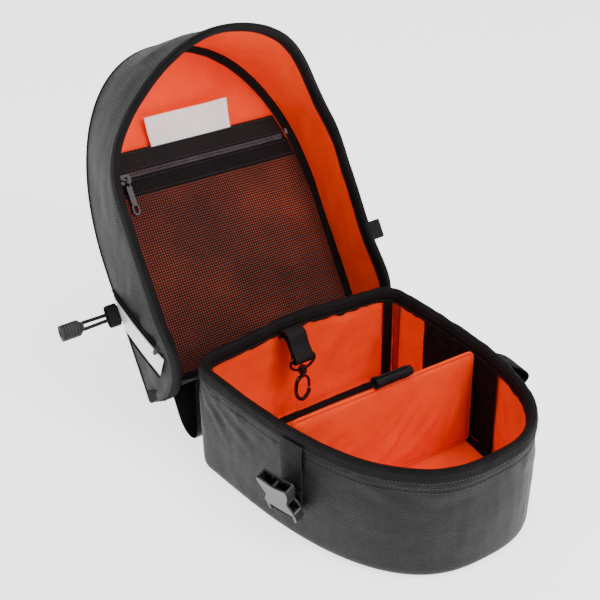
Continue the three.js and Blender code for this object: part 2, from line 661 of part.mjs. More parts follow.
// Reflective strip and piping, laid aslant across the tail end of each gusset.
function strips() {
  const slant = rad(48);
  const run = V(0, -Math.cos(slant), Math.sin(slant));
  const rise = V(0, Math.sin(slant), Math.cos(slant));
  const head = [59, 3];
  for (const [side, label] of [[-1, "left"], [1, "right"]]) {
    const lay = (across, z, length) => steps(0, length, 4).map((l) => {
      const along = head[0] + run.y * l + rise.y * across;
      const depth = head[1] + run.z * l + rise.z * across;
      return gussetSide(side, along, depth, z);
    });
    const ribbon = (low, high, thick, length) => {
      const [under, over] = [2 * GAP, 2 * GAP + thick];
      const rows = [lay(low, under, length), lay(high, under, length), lay(low, over, length),
        lay(high, over, length)];
      return band(range(5).map((i) => ({ outer: [rows[2][i], rows[3][i]], inner: [rows[0][i],
        rows[1][i]] })));
    };
    add(`reflective_strip_${label}`, ribbon(0, STRIP.width, STRIP.thick, 56), "reflective", lidFrame);
    add(`strip_piping_${label}`, ribbon(STRIP.width + 1.5, STRIP.width + 4.5, 1.6, 50), "webbing",
      lidFrame);
  }
}

// The spine: a flap from the tub's back wall to the lid's tail, stiff enough to carry the lid.
function spineFlap() {
  const w = LID.rimHalfWidth - GUSSET_IN - LID_LINING - BINDING.thick - 2.4;
  const path = [
    V(0, HINGE.along - 2, HINGE.depth - 4), V(0, LID.tail + 3, 44), V(0, LID.tail - 1.6, 18), V(0,
      LID.tail - 2.2, 0.6),
  ];
  add("spine_flap", strap(path, V(1, 0, 0), w * 2, 1.8), "shell", lidFrame);
}

// The slack of the spine, hanging from the tub's back wall to the ground side of the open lid.
function spineFold() {
  const y = BACK + TUB.bow + TUB.belly + 2.4;
  const path = [
    V(0, y, HINGE.z - 8), V(0, y + 0.6, 50), V(0, y + 1.4, 26), V(0, y + 6, 14), V(0, y + 15, 11),
      V(0, y + 27, 16),
    V(0, y + 36, 26), V(0, y + 41, 35),
  ];
  add("spine_fold", strap(path, V(1, 0, 0), TUB.width - 16, 1.4), "shell");
}

// ---------------------------------------------------------------- shock cord over the lid
const CORD_Z = -3; // the cord's middle, outside the panel
// along the lid, and in from the panel's edge
const ANCHORS = [[61, 10], [LID.nose - 91, 12], [LID.nose - 47, 16]];
const NOSE_LOOP = { x: 17, along: LID.nose - 9 };

const anchorX = ([along, inFromEdge]) => insideHalf(along, inFromEdge);

// The cord passes an anchor square to its loop, so it has a short straight run there.
function throughAnchor(k, side, direction) {
  const x = side * anchorX(ANCHORS[k]);
  const along = ANCHORS[k][0];
  const run = [-13, -7, 0, 7, 13].map((d) => V(x - side * (Math.abs(d) > 8 ? 2.6 : 0),
    along + direction * d, CORD_Z));
  return run;
}

// Where the cord crosses itself between two pairs of loops.
const crossing = (a, b) => (ANCHORS[a][0] + ANCHORS[b][0]) / 2;

function shockCord() {
  const edge = LID.halfWidth;
  const [first] = ANCHORS[0];
  const x0 = anchorX(ANCHORS[0]);
  const [near, over] = [CORD_Z, CORD_Z - 4.6];
  const points = [
    V(-edge - CORD.reach, first + 3, near), V(-edge - 4, first + 2.4, near), V(-x0, first + 2.4, near),
    V(-x0 + 12, first + 4, near), V(0, crossing(0, 1), near),
    ...throughAnchor(1, 1, 1), ...throughAnchor(2, -1, 1),
    V(-34, NOSE_LOOP.along - 3, near), V(-NOSE_LOOP.x, NOSE_LOOP.along, near), V(NOSE_LOOP.x,
      NOSE_LOOP.along, near),
    V(34, NOSE_LOOP.along - 3, near),
    ...throughAnchor(2, 1, -1), V(0, crossing(1, 2), over), ...throughAnchor(1, -1, -1),
    V(0, crossing(0, 1), over), ...throughAnchor(0, 1, -1),
    V(x0 - 16, first - 19, near), V(0, first - 14, near), V(-x0 + 14, first - 4, near), V(-x0,
      first - 2.4, near),
    V(-edge - 4, first - 2.4, near), V(-edge - CORD.reach, first - 3, near),
  ];
  add("shock_cord", rod(points, CORD.diameter, 150, 8), "cord", lidFrame);
  const half = CORD.diameter / 2 + 1.5;
  const hump = (place, reach, flat, wide, across) => {
    const at = (d, z) => place.clone().addScaledVector(across.y ? V(1, 0, 0) : V(0, 1, 0), d).setZ(z);
    const rise = half + flat;
    const path = [
      at(-reach, -1.2), at(-rise - 0.8, -1.6), at(-rise, CORD_Z), at(-rise * 0.7,
        CORD_Z - half * 0.8), at(0, CORD_Z - half),
      at(rise * 0.7, CORD_Z - half * 0.8), at(rise, CORD_Z), at(rise + 0.8, -1.6), at(reach, -1.2),
    ];
    return strap(path, across, wide, 1.2);
  };
  for (const [side, name] of [[-1, "left"], [1, "right"]]) {
    ANCHORS.forEach((anchor, k) => {
      const place = V(side * anchorX(anchor), anchor[0], 0);
      const held = side < 0 && k === 0;
      const loop = held ? hump(place, 15, 3.4, 12, V(1, 0, 0)) : hump(place, 9, 0.6, 11, V(0, 1, 0));
      add(`cord_loop_${name}_${k + 1}`, loop, "webbing", lidFrame);
    });
    const nose = V(side * NOSE_LOOP.x, NOSE_LOOP.along, 0);
    add(`cord_loop_${name}_4`, hump(nose, 8, 0.4, 8, V(1, 0, 0)), "webbing", lidFrame);
  }
  const { width, length, thick } = CORD_PULL;
  const x = -edge - CORD.reach - GAP;
  const w = width / 2;
  const outline = [[0, 4.6], [-4, w - 1], [-6, w], [-length, w], [-length, -w], [-6, -w], [-4,
    1 - w], [0, -4.6]];
  const grip = plate(outline, thick).translate(x, first, near - thick / 2);
  const grooves = range(5).flatMap((i) => [-1, 1].map((s) =>
    box(1.3, width * 0.62, 1, x - 9 - i * 2.8, first, near + s * thick / 2)));
  add("cord_pull", cut(grip, ...grooves), "plastic", lidFrame);
}

// ---------------------------------------------------------------- plugs that close the lid,
// folded on its top
function plugStraps() {
  const { width, length, thick, along } = PLUG;
  const w = width / 2;
  for (const [side, name] of [[-1, "left"], [1, "right"]]) {
    const root = insideHalf(along, 9);
    const tip = root - PLUG.strap;
    const path = [V(root, along, -1.2), V(root - 4, along, -1.6), V(tip + 4, along, -1.6), V(tip - 1,
      along, -1.6)];
    const ribbon = strap(path.map((p) => V(side * p.x, p.y, p.z)), V(0, 1, 0), STRAP.width, 1.2);
    add(`plug_strap_${name}`, ribbon, "webbing", lidFrame);
    const outline = [
      [tip + 9, -w], [tip + 9, w], [tip - 5, w], [tip - 7, w - 3], [tip - 18, w - 3.5], [tip - 24, w - 1],
      [tip - length + 9, w - 4], [tip - length + 9, w - 8.5], [tip - 20, w - 8], [tip - 9, w - 7.4],
        [tip - 9, 2.4],
      [tip - length + 12, 1.6], [tip - length + 12, -1.6], [tip - 9, -2.4], [tip - 9, 7.4 - w],
        [tip - 20, 8 - w],
      [tip - length + 9, 8.5 - w], [tip - length + 9, 4 - w], [tip - 24, 1 - w], [tip - 18, 3.5 - w],
        [tip - 7, 3 - w],
      [tip - 5, -w],
    ].map(([x, y]) => [side * x, along + y]);
    const eye = box(3.4, STRAP.width + 1, thick * 3, side * (tip + 3.6), along, 0);
    const body = plate(outline, thick).translate(0, 0, -thick - 2.6);
    add(`closing_plug_${name}`, cut(body, eye), "plastic", lidFrame);
  }
}

// A webbing tab on the right edge of the lid, to lift it by.
function pullTab() {
  const { along, depth, width, reach } = PULL_TAB;
  const x = LID.rimHalfWidth + LAP + BINDING.thick + 1.4;
  const path = [
    V(x, along, depth - 2), V(x + reach * 0.6, along, depth - 1.6), V(x + reach - 0.6, along,
      depth - 1.5),
    V(x + reach, along, depth), V(x + reach - 0.6, along, depth + 1.5), V(x + reach * 0.6, along,
      depth + 1.6),
    V(x, along, depth + 2),
  ];
  add("lid_pull_tab", strap(path, V(0, 1, 0), width, 1.4), "webbing", lidFrame);
}

tubParts();
cornerTapes();
loopFields();
divider();
keyLeash();
sideStraps();
lidShell();
lidBinding();
seamTape();
meshPocket();
zipperSlider();
label();
strips();
spineFlap();
spineFold();
shockCord();
plugStraps();
pullTab();

export default bag;
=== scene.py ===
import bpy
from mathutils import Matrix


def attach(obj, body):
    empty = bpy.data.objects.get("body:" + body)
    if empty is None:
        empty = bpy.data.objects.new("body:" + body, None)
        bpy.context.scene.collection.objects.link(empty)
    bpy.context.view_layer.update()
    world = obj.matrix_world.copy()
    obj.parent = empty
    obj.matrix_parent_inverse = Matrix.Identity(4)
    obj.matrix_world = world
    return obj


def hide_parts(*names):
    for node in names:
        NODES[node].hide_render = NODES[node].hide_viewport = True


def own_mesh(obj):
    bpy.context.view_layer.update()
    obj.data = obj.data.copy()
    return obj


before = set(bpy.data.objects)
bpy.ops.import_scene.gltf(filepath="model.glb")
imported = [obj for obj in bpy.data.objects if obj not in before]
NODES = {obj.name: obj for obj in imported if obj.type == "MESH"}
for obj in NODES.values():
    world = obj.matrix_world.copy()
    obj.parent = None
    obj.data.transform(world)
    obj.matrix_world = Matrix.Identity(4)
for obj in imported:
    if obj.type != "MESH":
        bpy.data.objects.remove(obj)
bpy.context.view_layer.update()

import math

import bmesh
import bpy
import numpy as np
from mathutils import Vector, noise
from mathutils.geometry import tessellate_polygon

MM = 0.001
SIDES = ((-1, "left"), (1, "right"))
scene = bpy.context.scene

# ---------------------------------------------------------------- camera
camera = bpy.data.objects.new("camera", bpy.data.cameras.new("camera"))
scene.collection.objects.link(camera)
camera.data.lens = 95.6
camera.location = (-0.7494, -0.8643, 0.8433)
camera.rotation_euler = Vector((0.5239, 0.6915, -0.4974)).to_track_quat("-Z", "Y").to_euler()
scene.camera = camera


# ---------------------------------------------------------------- materials
def linear(code):
    channels = [int(code[i:i + 2], 16) / 255 for i in (1, 3, 5)]
    return [c / 12.92 if c <= 0.04045 else ((c + 0.055) / 1.055) ** 2.4 for c in channels] + [1.0]


def node(tree, kind, settings=None, **links):
    """Adds one node. A setting is an attribute or an input's value; a link joins an input to a socket."""
    made = tree.nodes.new("ShaderNode" + kind)
    numbered = {"Value_%03d" % k: k for k in range(3)}
    for key, value in (settings or {}).items():
        if key in numbered:
            made.inputs[numbered[key]].default_value = value
        elif key in made.inputs:
            made.inputs[key].default_value = value
        else:
            setattr(made, key, value)
    for key, socket in links.items():
        tree.links.new(socket, made.inputs[int(key[1:])] if key[1:].isdigit() else made.inputs[key])
    return made


def new_material(name, **shader_settings):
    material = bpy.data.materials.new(name)
    material.use_nodes = True
    tree = material.node_tree
    shader = tree.nodes["Principled BSDF"]
    for key, value in shader_settings.items():
        shader.inputs[key.replace("_", " ")].default_value = value
    return material, tree, shader


def ramp(tree, factor, stops):
    made = node(tree, "ValToRGB", i0=factor)
    elements = made.color_ramp.elements
    while len(elements) < len(stops):
        elements.new(0.5)
    for element, (place, colour) in zip(elements, stops):
        element.position = place
        element.color = linear(colour)
    return made.outputs[0]


def bumped(tree, shader, height, distance, strength=1.0, under=None):
    links = {"Height": height}
    if under:
        links["Normal"] = under
    made = node(tree, "Bump", {"Distance": distance, "Strength": strength}, **links)
    tree.links.new(made.outputs[0], shader.inputs["Normal"])
    return made.outputs[0]


def woven(name, dark, mid, light, along, across, twist=0.0, depth=0.0002, **shader_settings):
    """Cloth: uneven threads, along by across millimetres apart, over a slow mottling of the dye."""
    material, tree, shader = new_material(name, **shader_settings)
    place = node(tree, "UVMap").outputs[0]
    turned = node(tree, "Mapping", {"Rotation": (0, 0, twist)}, Vector=place).outputs[0]
    waver = node(tree, "TexNoise", {"Scale": 0.12, "Detail": 2.0}, Vector=place).outputs[0]
    bands = []
    for pitch, direction in ((along, "X"), (across, "Y")):
        band = node(tree, "TexWave", {"bands_direction": direction, "Scale": 0.314 / pitch, "Distortion": 0.6,
                                      "Detail Scale": 0.3}, Vector=turned)
        bands.append(band.outputs[1])
    thread = node(tree, "Math", {"operation": "MULTIPLY"}, i0=bands[0], i1=bands[1]).outputs[0]
    mottle = node(tree, "TexNoise", {"Scale": 0.03, "Detail": 5.0, "Roughness": 0.6}, Vector=place).outputs[0]
    blend = node(tree, "Math", {"operation": "MULTIPLY_ADD", "Value_001": 0.45}, i0=thread,
                 i2=mottle).outputs[0]
    colour = ramp(tree, blend, [(0.28, dark), (0.62, mid), (0.95, light)])
    tree.links.new(colour, shader.inputs["Base Color"])
    fine = bumped(tree, shader, thread, depth, 0.8)
    bumped(tree, shader, waver, 0.0012, 0.35, fine)
    return material


# Coated polyester twill, woven and calendered: dark, with a soft sheen on its folds and a fine diagonal rib.
# The rib is drawn at 2 mm, coarser than the thread, so that it shows.
SHELL = woven("coated_polyester_twill", "#0b0a0b", "#151314", "#262324", 2.0, 2.0, math.radians(38), 0.0005,
              Roughness=0.5, Specular_IOR_Level=0.2)
# Plain woven nylon lining, dyed orange, light in weight: bright, and its shadows stay red.
LINING = woven("plain_nylon_lining", "#ee3000", "#ff4000", "#ff5000", 0.9, 0.9, 0, 0.00012,
               Roughness=0.7, Specular_IOR_Level=0.18)
# Nylon webbing, woven in ribs across its length: near black, with pale edges where the ribs catch the light.
WEBBING = woven("ribbed_nylon_webbing", "#090708", "#100d0e", "#1c181a", 1.3, 2.6, 0, 0.00025,
                Roughness=0.72, Specular_IOR_Level=0.22)
# Grosgrain tape bound over the rims: finer ribs than the webbing and softer.
BINDING = woven("grosgrain_binding", "#080607", "#0f0c0d", "#1d191b", 1.1, 3.2, 0, 0.0004,
                Roughness=0.8, Specular_IOR_Level=0.16)
# Silver reflective tape, glass beads on a grey film: almost white, smooth, with a faint honeycomb.
REFLECTIVE = woven("glass_bead_reflective_tape", "#c2cace", "#dfe6ea", "#f4f8fa", 1.6, 1.6, 0.6, 0.0001,
                   Roughness=0.32, Metallic=0.35)
# White satin label: fine threads, slightly shiny.
LABEL = woven("white_satin_label", "#e6e2e3", "#f5f2f2", "#ffffff", 0.6, 0.6, 0, 0.00006, Roughness=0.5)
# Painted shade: a darker red copy of the orange lining, for the lining folded into the back right corner seam.
LINING_FOLD_SHADE = woven("lining_fold_painted_shade", "#5e0b06", "#96160b", "#b52312", 1.1, 2.0, 0, 0.0002, Roughness=0.7)
# Sewing thread, twisted polyester.
THREAD = woven("polyester_thread", "#1c1a1c", "#3a363a", "#5c575b", 0.5, 0.5, 0.7, 0.00008, Roughness=0.55)


def netting():
    """Knitted polyester netting: black yarn round holes 2.4 mm apart. The holes are not cut but painted, in the colour
    of the orange lining as it looks in shade under the yarn: painted shade.
    """
    material, tree, shader = new_material("knitted_netting", Roughness=0.75, Specular_IOR_Level=0.2)
    place = node(tree, "UVMap").outputs[0]
    cells = node(tree, "TexVoronoi", {"feature": "DISTANCE_TO_EDGE", "Scale": 1 / 2.4, "Randomness": 0.07},
                 Vector=place)
    slow = node(tree, "TexNoise", {"Scale": 0.012, "Detail": 2.0}, Vector=place).outputs[0]
    shift = node(tree, "Math", {"operation": "MULTIPLY_ADD", "Value_001": 0.3, "Value_002": -0.15},
                 i0=slow).outputs[0]
    factor = node(tree, "Math", {"operation": "ADD"}, i0=cells.outputs[0], i1=shift).outputs[0]
    # Painted shade: the last stop is the orange lining in shade, painted into the holes.
    colour = ramp(tree, factor, [(0.1, "#140b0a"), (0.25, "#54201a"), (0.45, "#b04a26")])
    tree.links.new(colour, shader.inputs["Base Color"])
    depth = node(tree, "Math", {"operation": "MULTIPLY", "Value_001": -1.0}, i0=cells.outputs[0]).outputs[0]
    bumped(tree, shader, depth, 0.0006)
    return material


def pile():
    """Loop pile of a touch fastener: matt black with a fuzzy, uneven nap."""
    material, tree, shader = new_material("nylon_loop_pile", Roughness=0.95, Specular_IOR_Level=0.15)
    place = node(tree, "UVMap").outputs[0]
    curls = node(tree, "TexVoronoi", {"Scale": 0.9, "Randomness": 1.0}, Vector=place).outputs[0]
    slow = node(tree, "TexNoise", {"Scale": 0.09, "Detail": 6.0}, Vector=place).outputs[0]
    both = node(tree, "Math", {"operation": "MULTIPLY"}, i0=curls, i1=slow).outputs[0]
    tree.links.new(ramp(tree, both, [(0.05, "#070607"), (0.3, "#121011"), (0.6, "#252122")]),
                   shader.inputs["Base Color"])
    bumped(tree, shader, both, 0.0012)
    return material


def moulded(name, dark, light, **shader_settings):
    """Injection-moulded acetal: even colour with a faint grain from the mould."""
    material, tree, shader = new_material(name, IOR=1.48, **shader_settings)
    place = node(tree, "TexCoord").outputs["Object"]
    grain = node(tree, "TexNoise", {"Scale": 900.0, "Detail": 3.0}, Vector=place).outputs[0]
    slow = node(tree, "TexNoise", {"Scale": 60.0, "Detail": 2.0}, Vector=place).outputs[0]
    tree.links.new(ramp(tree, slow, [(0.3, dark), (0.7, light)]), shader.inputs["Base Color"])
    bumped(tree, shader, grain, 0.00006, 0.5)
    return material


# Buckles: matt grey-black acetal with spark-eroded grain.
BUCKLE = moulded("acetal_buckle", "#1b1a1b", "#252325", Roughness=0.36)
# Key bail and hook: the same plastic, polished.
GLOSSY = moulded("polished_acetal", "#0c0b0c", "#1a191a", Roughness=0.16)
# Zipper slider: die-cast zinc, painted black; the paint hides the metal but keeps its gloss.
SLIDER_PAINT = moulded("black_painted_zinc", "#151416", "#2c2a2d", Roughness=0.3)
# Painted highlight: the coil is dark nylon; this light grey stands in for the glints on its turns, and the zipper
# stops get it too.
COIL_PAINTED_GLINT = moulded("nylon_coil_painted_glint", "#5a575c", "#7c787e", Roughness=0.3)
PULL_RUBBER = moulded("moulded_cord_end", "#161415", "#232021", Roughness=0.5)
BOARD = moulded("polyethylene_board", "#202022", "#2c2c2e", Roughness=0.6)


def foam():
    """Closed-cell foam: pale grey and pocked."""
    material, tree, shader = new_material("closed_cell_foam", Roughness=0.9)
    place = node(tree, "TexCoord").outputs["Object"]
    cells = node(tree, "TexVoronoi", {"Scale": 900.0}, Vector=place).outputs[0]
    tree.links.new(ramp(tree, cells, [(0.1, "#4a4a4c"), (0.6, "#6c6c6e")]), shader.inputs["Base Color"])
    bumped(tree, shader, cells, 0.0003)
    return material


def braid():
    """Braided elastic cord: brown-black, with the diamond pattern of its cover at 1.4 mm."""
    material, tree, shader = new_material("braided_elastic_cord", Roughness=0.8, Specular_IOR_Level=0.25)
    place = node(tree, "TexCoord").outputs["Object"]
    cover = []
    for twist in (0.7, -0.7):
        turned = node(tree, "Mapping", {"Rotation": (twist, twist, twist)}, Vector=place).outputs[0]
        cover.append(node(tree, "TexWave", {"Scale": 0.314 / 0.0014}, Vector=turned).outputs[1])
    both = node(tree, "Math", {"operation": "MULTIPLY"}, i0=cover[0], i1=cover[1]).outputs[0]
    tree.links.new(ramp(tree, both, [(0.1, "#0c0a08"), (0.5, "#1c1814"), (0.9, "#3a332d")]),
                   shader.inputs["Base Color"])
    bumped(tree, shader, both, 0.0003)
    return material


NETTING = netting()
PILE = pile()
FOAM = foam()
CORD_BRAID = braid()


# ---------------------------------------------------------------- making meshes
def make(name, points, faces, uvs, material, body, smooth=True, replaces=(), slot=None, extra=()):
    """A mesh piece from points in millimetres, faces and per-vertex flat coordinates in millimetres."""
    mesh = bpy.data.meshes.new(name)
    mesh.from_pydata([[c * MM for c in p] for p in points], [], faces)
    layer = mesh.uv_layers.new(name="flat")
    for loop in mesh.loops:
        layer.data[loop.index].uv = uvs[loop.vertex_index]
    for polygon in mesh.polygons:
        polygon.use_smooth = smooth
    mesh.materials.append(material)
    for other in extra:
        mesh.materials.append(other)
    piece = bpy.data.objects.new(name, mesh)
    scene.collection.objects.link(piece)
    if body:
        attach(piece, body)
    if replaces:
        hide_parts(*replaces)
    return piece


def grid(columns, rows, ring=False, tube=False):
    """Quads of a grid stored column by column."""
    faces = []
    for i in range(columns if ring else columns - 1):
        for j in range(rows if tube else rows - 1):
            a, b = i * rows + j, ((i + 1) % columns) * rows + j
            c, d = ((i + 1) % columns) * rows + (j + 1) % rows, i * rows + (j + 1) % rows
            faces.append((a, b, c, d))
    return faces


def ends(count, sides):
    """The two caps of a tube stored ring by ring."""
    return [tuple(reversed(range(sides))), tuple((count - 1) * sides + k for k in range(sides))]


def skin(name, at, columns, rows, flat, material, body, ring=False, puff=None, **facts):
    """A sheet of cloth: at(s, t) gives each point, and puff(s, t) how far it stands out along the normal."""
    last = columns if ring else columns - 1
    ss = [i / last for i in range(columns)]
    ts = [j / (rows - 1) for j in range(rows)]
    points = [[Vector(at(s, t)) for t in ts] for s in ss]
    if puff:
        moved = []
        for i, s in enumerate(ss):
            column = []
            for j, t in enumerate(ts):
                before = points[i - 1] if i or ring else points[i]
                after = points[(i + 1) % columns] if i + 1 < columns or ring else points[i]
                along = after[j] - before[j]
                up = points[i][min(j + 1, rows - 1)] - points[i][max(j - 1, 0)]
                normal = along.cross(up)
                if normal.length > 1e-9:
                    normal.normalize()
                column.append(points[i][j] + normal * puff(s, t))
            moved.append(column)
        points = moved
    uvs = [(s * flat[0], t * flat[1]) for s in ss for t in ts]
    return make(name, [p for c in points for p in c], grid(columns, rows, ring), uvs, material, body, **facts)


def smooth_path(points, spacing=1.6):
    """Points along a Catmull-Rom curve through the given ones, about a spacing apart."""
    points = [Vector(p) for p in points]
    padded = [points[0] * 2 - points[1]] + points + [points[-1] * 2 - points[-2]]
    out = []
    for a, b, c, d in zip(padded, padded[1:], padded[2:], padded[3:]):
        count = max(2, int((c - b).length / spacing))
        for k in range(count):
            t = k / count
            out.append(0.5 * (2 * b + (c - a) * t + (2 * a - 5 * b + 4 * c - d) * t * t +
                              (3 * b - a - 3 * c + d) * t ** 3))
    out.append(points[-1])
    return out


def ribbon(name, path, across, width, thick, material, body, spacing=1.6, wave=0.0, **facts):
    """Webbing along a path: a flattened section with soft edges, its ribs running across it."""
    path = smooth_path(path, spacing)
    across = Vector(across).normalized()
    section = [(-0.5, 0.1), (-0.47, 0.42), (-0.25, 0.5), (0, 0.46), (0.25, 0.5), (0.47, 0.42), (0.5, 0.1),
               (0.5, -0.1), (0.47, -0.42), (0.25, -0.5), (0, -0.46), (-0.25, -0.5), (-0.47, -0.42),
               (-0.5, -0.1)]
    points, uvs, run = [], [], 0.0
    for i, p in enumerate(path):
        tangent = path[min(i + 1, len(path) - 1)] - path[max(i - 1, 0)]
        normal = tangent.cross(across).normalized()
        run += (p - path[i - 1]).length if i else 0
        ripple = wave * drift(run * 0.08, 3.7, width)
        for u, w in section:
            lift = wave * 0.6 * drift(run * 0.11, u * 3, 9.1)
            points.append(p + across * (u * width + ripple * 0.4) + normal * (w * thick + lift))
            uvs.append((run, u * width + (8 if w < 0 else 0)))
    rows = len(section)
    faces = grid(len(path), rows, tube=True)
    faces += ends(len(path), rows)
    return make(name, points, faces, uvs, material, body, **facts)


def tube(name, path, radius, material, body, sides=8, spacing=1.6, loop=False, ready=False, **facts):
    """A cord or piping along a path, closed by a loop; a ready path is already smooth."""
    path = [Vector(p) for p in path] if loop or ready else smooth_path(path, spacing)
    points, uvs, run = [], [], 0.0
    side = None
    count = len(path)
    for i, p in enumerate(path):
        after, before = ((i + 1) % count, i - 1) if loop else (min(i + 1, count - 1), max(i - 1, 0))
        tangent = (path[after] - path[before]).normalized()
        if side is None:
            side = tangent.orthogonal().normalized()
        side = (side - tangent * side.dot(tangent)).normalized()
        other = tangent.cross(side)
        run += (p - path[i - 1]).length if i else 0
        for k in range(sides):
            a = 2 * math.pi * k / sides
            points.append(p + side * (radius * math.cos(a)) + other * (radius * math.sin(a)))
            uvs.append((run, a * radius))
    faces = grid(count, sides, ring=loop, tube=True)
    if not loop:
        faces += ends(count, sides)
    return make(name, points, faces, uvs, material, body, **facts)


def stitches(name, lines, body, pitch=3.4, length=2.3, thick=0.55):
    """Rows of stitches: each a small rounded float of thread lying along its line."""
    points, faces, uvs = [], [], []
    for line in lines:
        line = [Vector(p) for p in line]
        total, place = 0.0, pitch * 0.5
        for a, b in zip(line, line[1:]):
            step = (b - a).length
            while place < total + step and step > 0:
                centre = a.lerp(b, (place - total) / step)
                tangent = (b - a).normalized()
                side = tangent.orthogonal().normalized()
                other = tangent.cross(side)
                start = len(points)
                for u, r in ((-0.5, 0.35), (-0.25, 0.95), (0.25, 0.95), (0.5, 0.35)):
                    for k in range(5):
                        angle = 2 * math.pi * k / 5
                        offset = side * math.cos(angle) + other * math.sin(angle)
                        points.append(centre + tangent * (u * length) + offset * (r * thick / 2))
                        uvs.append((u * length, k * 0.3))
                for i in range(3):
                    for k in range(5):
                        a0, a1 = start + i * 5 + k, start + i * 5 + (k + 1) % 5
                        faces.append((a0, a1, a1 + 5, a0 + 5))
                faces.append(tuple(start + k for k in reversed(range(5))))
                faces.append(tuple(start + 15 + k for k in range(5)))
                place += pitch
            total += step
    make(name, points, faces, uvs, THREAD, body)


def clamp(x, low=0.0, high=1.0):
    return max(low, min(high, x))


def soft_step(a, b, x):
    q = clamp((x - a) / (b - a))
    return q * q * (3 - 2 * q)


def bell(x, centre, width):
    return math.exp(-((x - centre) / width) ** 2)


def drift(x, y, z):
    """Smooth unevenness, about -1 to 1."""
    return noise.noise(Vector((x, y, z)))


def rumple(x, y, seed, scale=1.0):
    """Soft uneven cloth surface, in millimetres."""
    return (drift(x * 0.02, y * 0.02, seed) + 0.5 * drift(x * 0.05, y * 0.05, seed + 7)) * scale


# ---------------------------------------------------------------- outline of the tub
WIDTH, LENGTH, HEIGHT = 227, 265, 107.5
NOSE_LENGTH, NOSE_POWER, CORNER, BOW = 211, 2.6, 22, 4
LINING_IN = 6.4
SIDE, BACK = WIDTH / 2, LENGTH / 2
NOSE_START = -BACK + NOSE_LENGTH


def outline_points():
    """The tub's outline, closed, from the middle of its back round by the right side and the nose."""
    r, half = CORNER, []
    half += [((SIDE - r) * k / 12, BACK) for k in range(12)]
    half += [(SIDE - r + r * math.sin(a), BACK - r + r * math.cos(a)) for a in np.linspace(0, math.pi / 2, 14)]
    half += [(SIDE, y) for y in np.linspace(BACK - r, NOSE_START, 8)[1:-1]]
    for a in np.linspace(0, math.pi / 2, 90):
        x = SIDE * max(math.cos(a), 0) ** (2 / NOSE_POWER)
        half.append((x, NOSE_START - NOSE_LENGTH * math.sin(a) ** (2 / NOSE_POWER)))
    bowed = []
    for x, y in half:
        share = clamp((y - BACK + r) / r)
        bowed.append((x, y + share * BOW * (1 - (x / SIDE) ** 2)))
    return bowed + [(-x, y) for x, y in reversed(bowed[1:-1])]


def resampled(points, count):
    loop = np.array(points + points[:1], float)
    run = np.concatenate([[0], np.cumsum(np.hypot(*np.diff(loop, axis=0).T))])
    marks = np.linspace(0, run[-1], count, endpoint=False)
    return np.stack([np.interp(marks, run, loop[:, k]) for k in (0, 1)], 1), run[-1]


RING_COUNT = 720
RING, GIRTH = resampled(outline_points(), RING_COUNT)
_tangent = np.roll(RING, -2, 0) - np.roll(RING, 2, 0)
RING_OUT = np.stack([-_tangent[:, 1], _tangent[:, 0]], 1)
RING_OUT /= np.hypot(*RING_OUT.T)[:, None]
if RING_OUT[0][1] < 0:
    RING_OUT = -RING_OUT


def wall(s, out, z):
    """A point on the tub's wall: s round its outline, out outward from its outside face."""
    f = (s % 1.0) * RING_COUNT
    i, share = int(f) % RING_COUNT, f - int(f)
    j = (i + 1) % RING_COUNT
    p = RING[i] * (1 - share) + RING[j] * share
    n = RING_OUT[i] * (1 - share) + RING_OUT[j] * share
    return Vector((p[0] + n[0] * out, p[1] + n[1] * out, z))


def s_of(x, y):
    """Where round the outline the nearest point to x, y is."""
    return int(np.argmin(np.hypot(RING[:, 0] - x, RING[:, 1] - y))) / RING_COUNT


S_NOSE = 0.5
S_BACK_LEFT = s_of(-108, 128)
S_BACK_RIGHT = s_of(108, 128)


def rim_rise(s):
    """The rim stands a little higher at the middle of the back, and its binding wavers."""
    near = min(s % 1.0, 1 - s % 1.0) * GIRTH
    return 5.5 * bell(near, 0, 62) + 0.8 * drift(s * 21, 1.3, 0)


def along_profile(profile, t):
    """A point at share t along a profile of (out, z) pairs, by length."""
    run = [0.0]
    for a, b in zip(profile, profile[1:]):
        run.append(run[-1] + math.hypot(b[0] - a[0], b[1] - a[1]))
    mark = t * run[-1]
    for k, (a, b) in enumerate(zip(profile, profile[1:])):
        if mark <= run[k + 1] + 1e-9:
            q = (mark - run[k]) / max(run[k + 1] - run[k], 1e-9)
            return a[0] + (b[0] - a[0]) * q, a[1] + (b[1] - a[1]) * q
    return profile[-1]


# ---------------------------------------------------------------- tub: outside
WALL_PROFILE = [(-14, 0.5), (-9, 0.5), (-6, 0.8), (-3.4, 2), (-1.4, 4.2), (-0.4, 7.5), (0, 12), (1.0, 28),
                (1.5, 45),
                (1.4, 60), (0.9, 80), (0.3, 97), (0.2, 105)]
FOLDS = [  # creases of the shell: (place round the rim, height, run in s, run in z, width mm, height mm)
    (S_BACK_LEFT + 0.004, 92, -0.020, -42, 4.0, 1.5), (S_BACK_LEFT - 0.004, 92, -0.052, -38, 4.4, 1.3),
    (S_BACK_LEFT - 0.012, 92, -0.085, -30, 4.8, 1.2), (S_BACK_LEFT - 0.022, 94, -0.10, -18, 4.6, 0.9),
    (S_BACK_LEFT + 0.012, 88, 0.004, -52, 4.2, 1.2), (0.63, 88, -0.05, -20, 6, 0.8),
    (0.56, 84, -0.06, 9, 7, 0.9),
    (0.45, 80, -0.05, -16, 7, 0.8), (0.37, 86, -0.05, -26, 6, 0.8), (0.70, 40, -0.04, 24, 7, 0.7),
]


def crease(s, z):
    total = 0.0
    for s0, z0, ds, dz, width, height in FOLDS:
        ax, az = (s - s0) * GIRTH, z - z0
        bx, bz = ds * GIRTH, dz
        length2 = bx * bx + bz * bz
        q = clamp((ax * bx + az * bz) / length2)
        gap = math.hypot(ax - bx * q, az - bz * q)
        total += height * (1 - 0.75 * q) * (bell(gap, 0, width) - 0.6 * bell(gap, width * 1.7, width * 0.8))
    return total


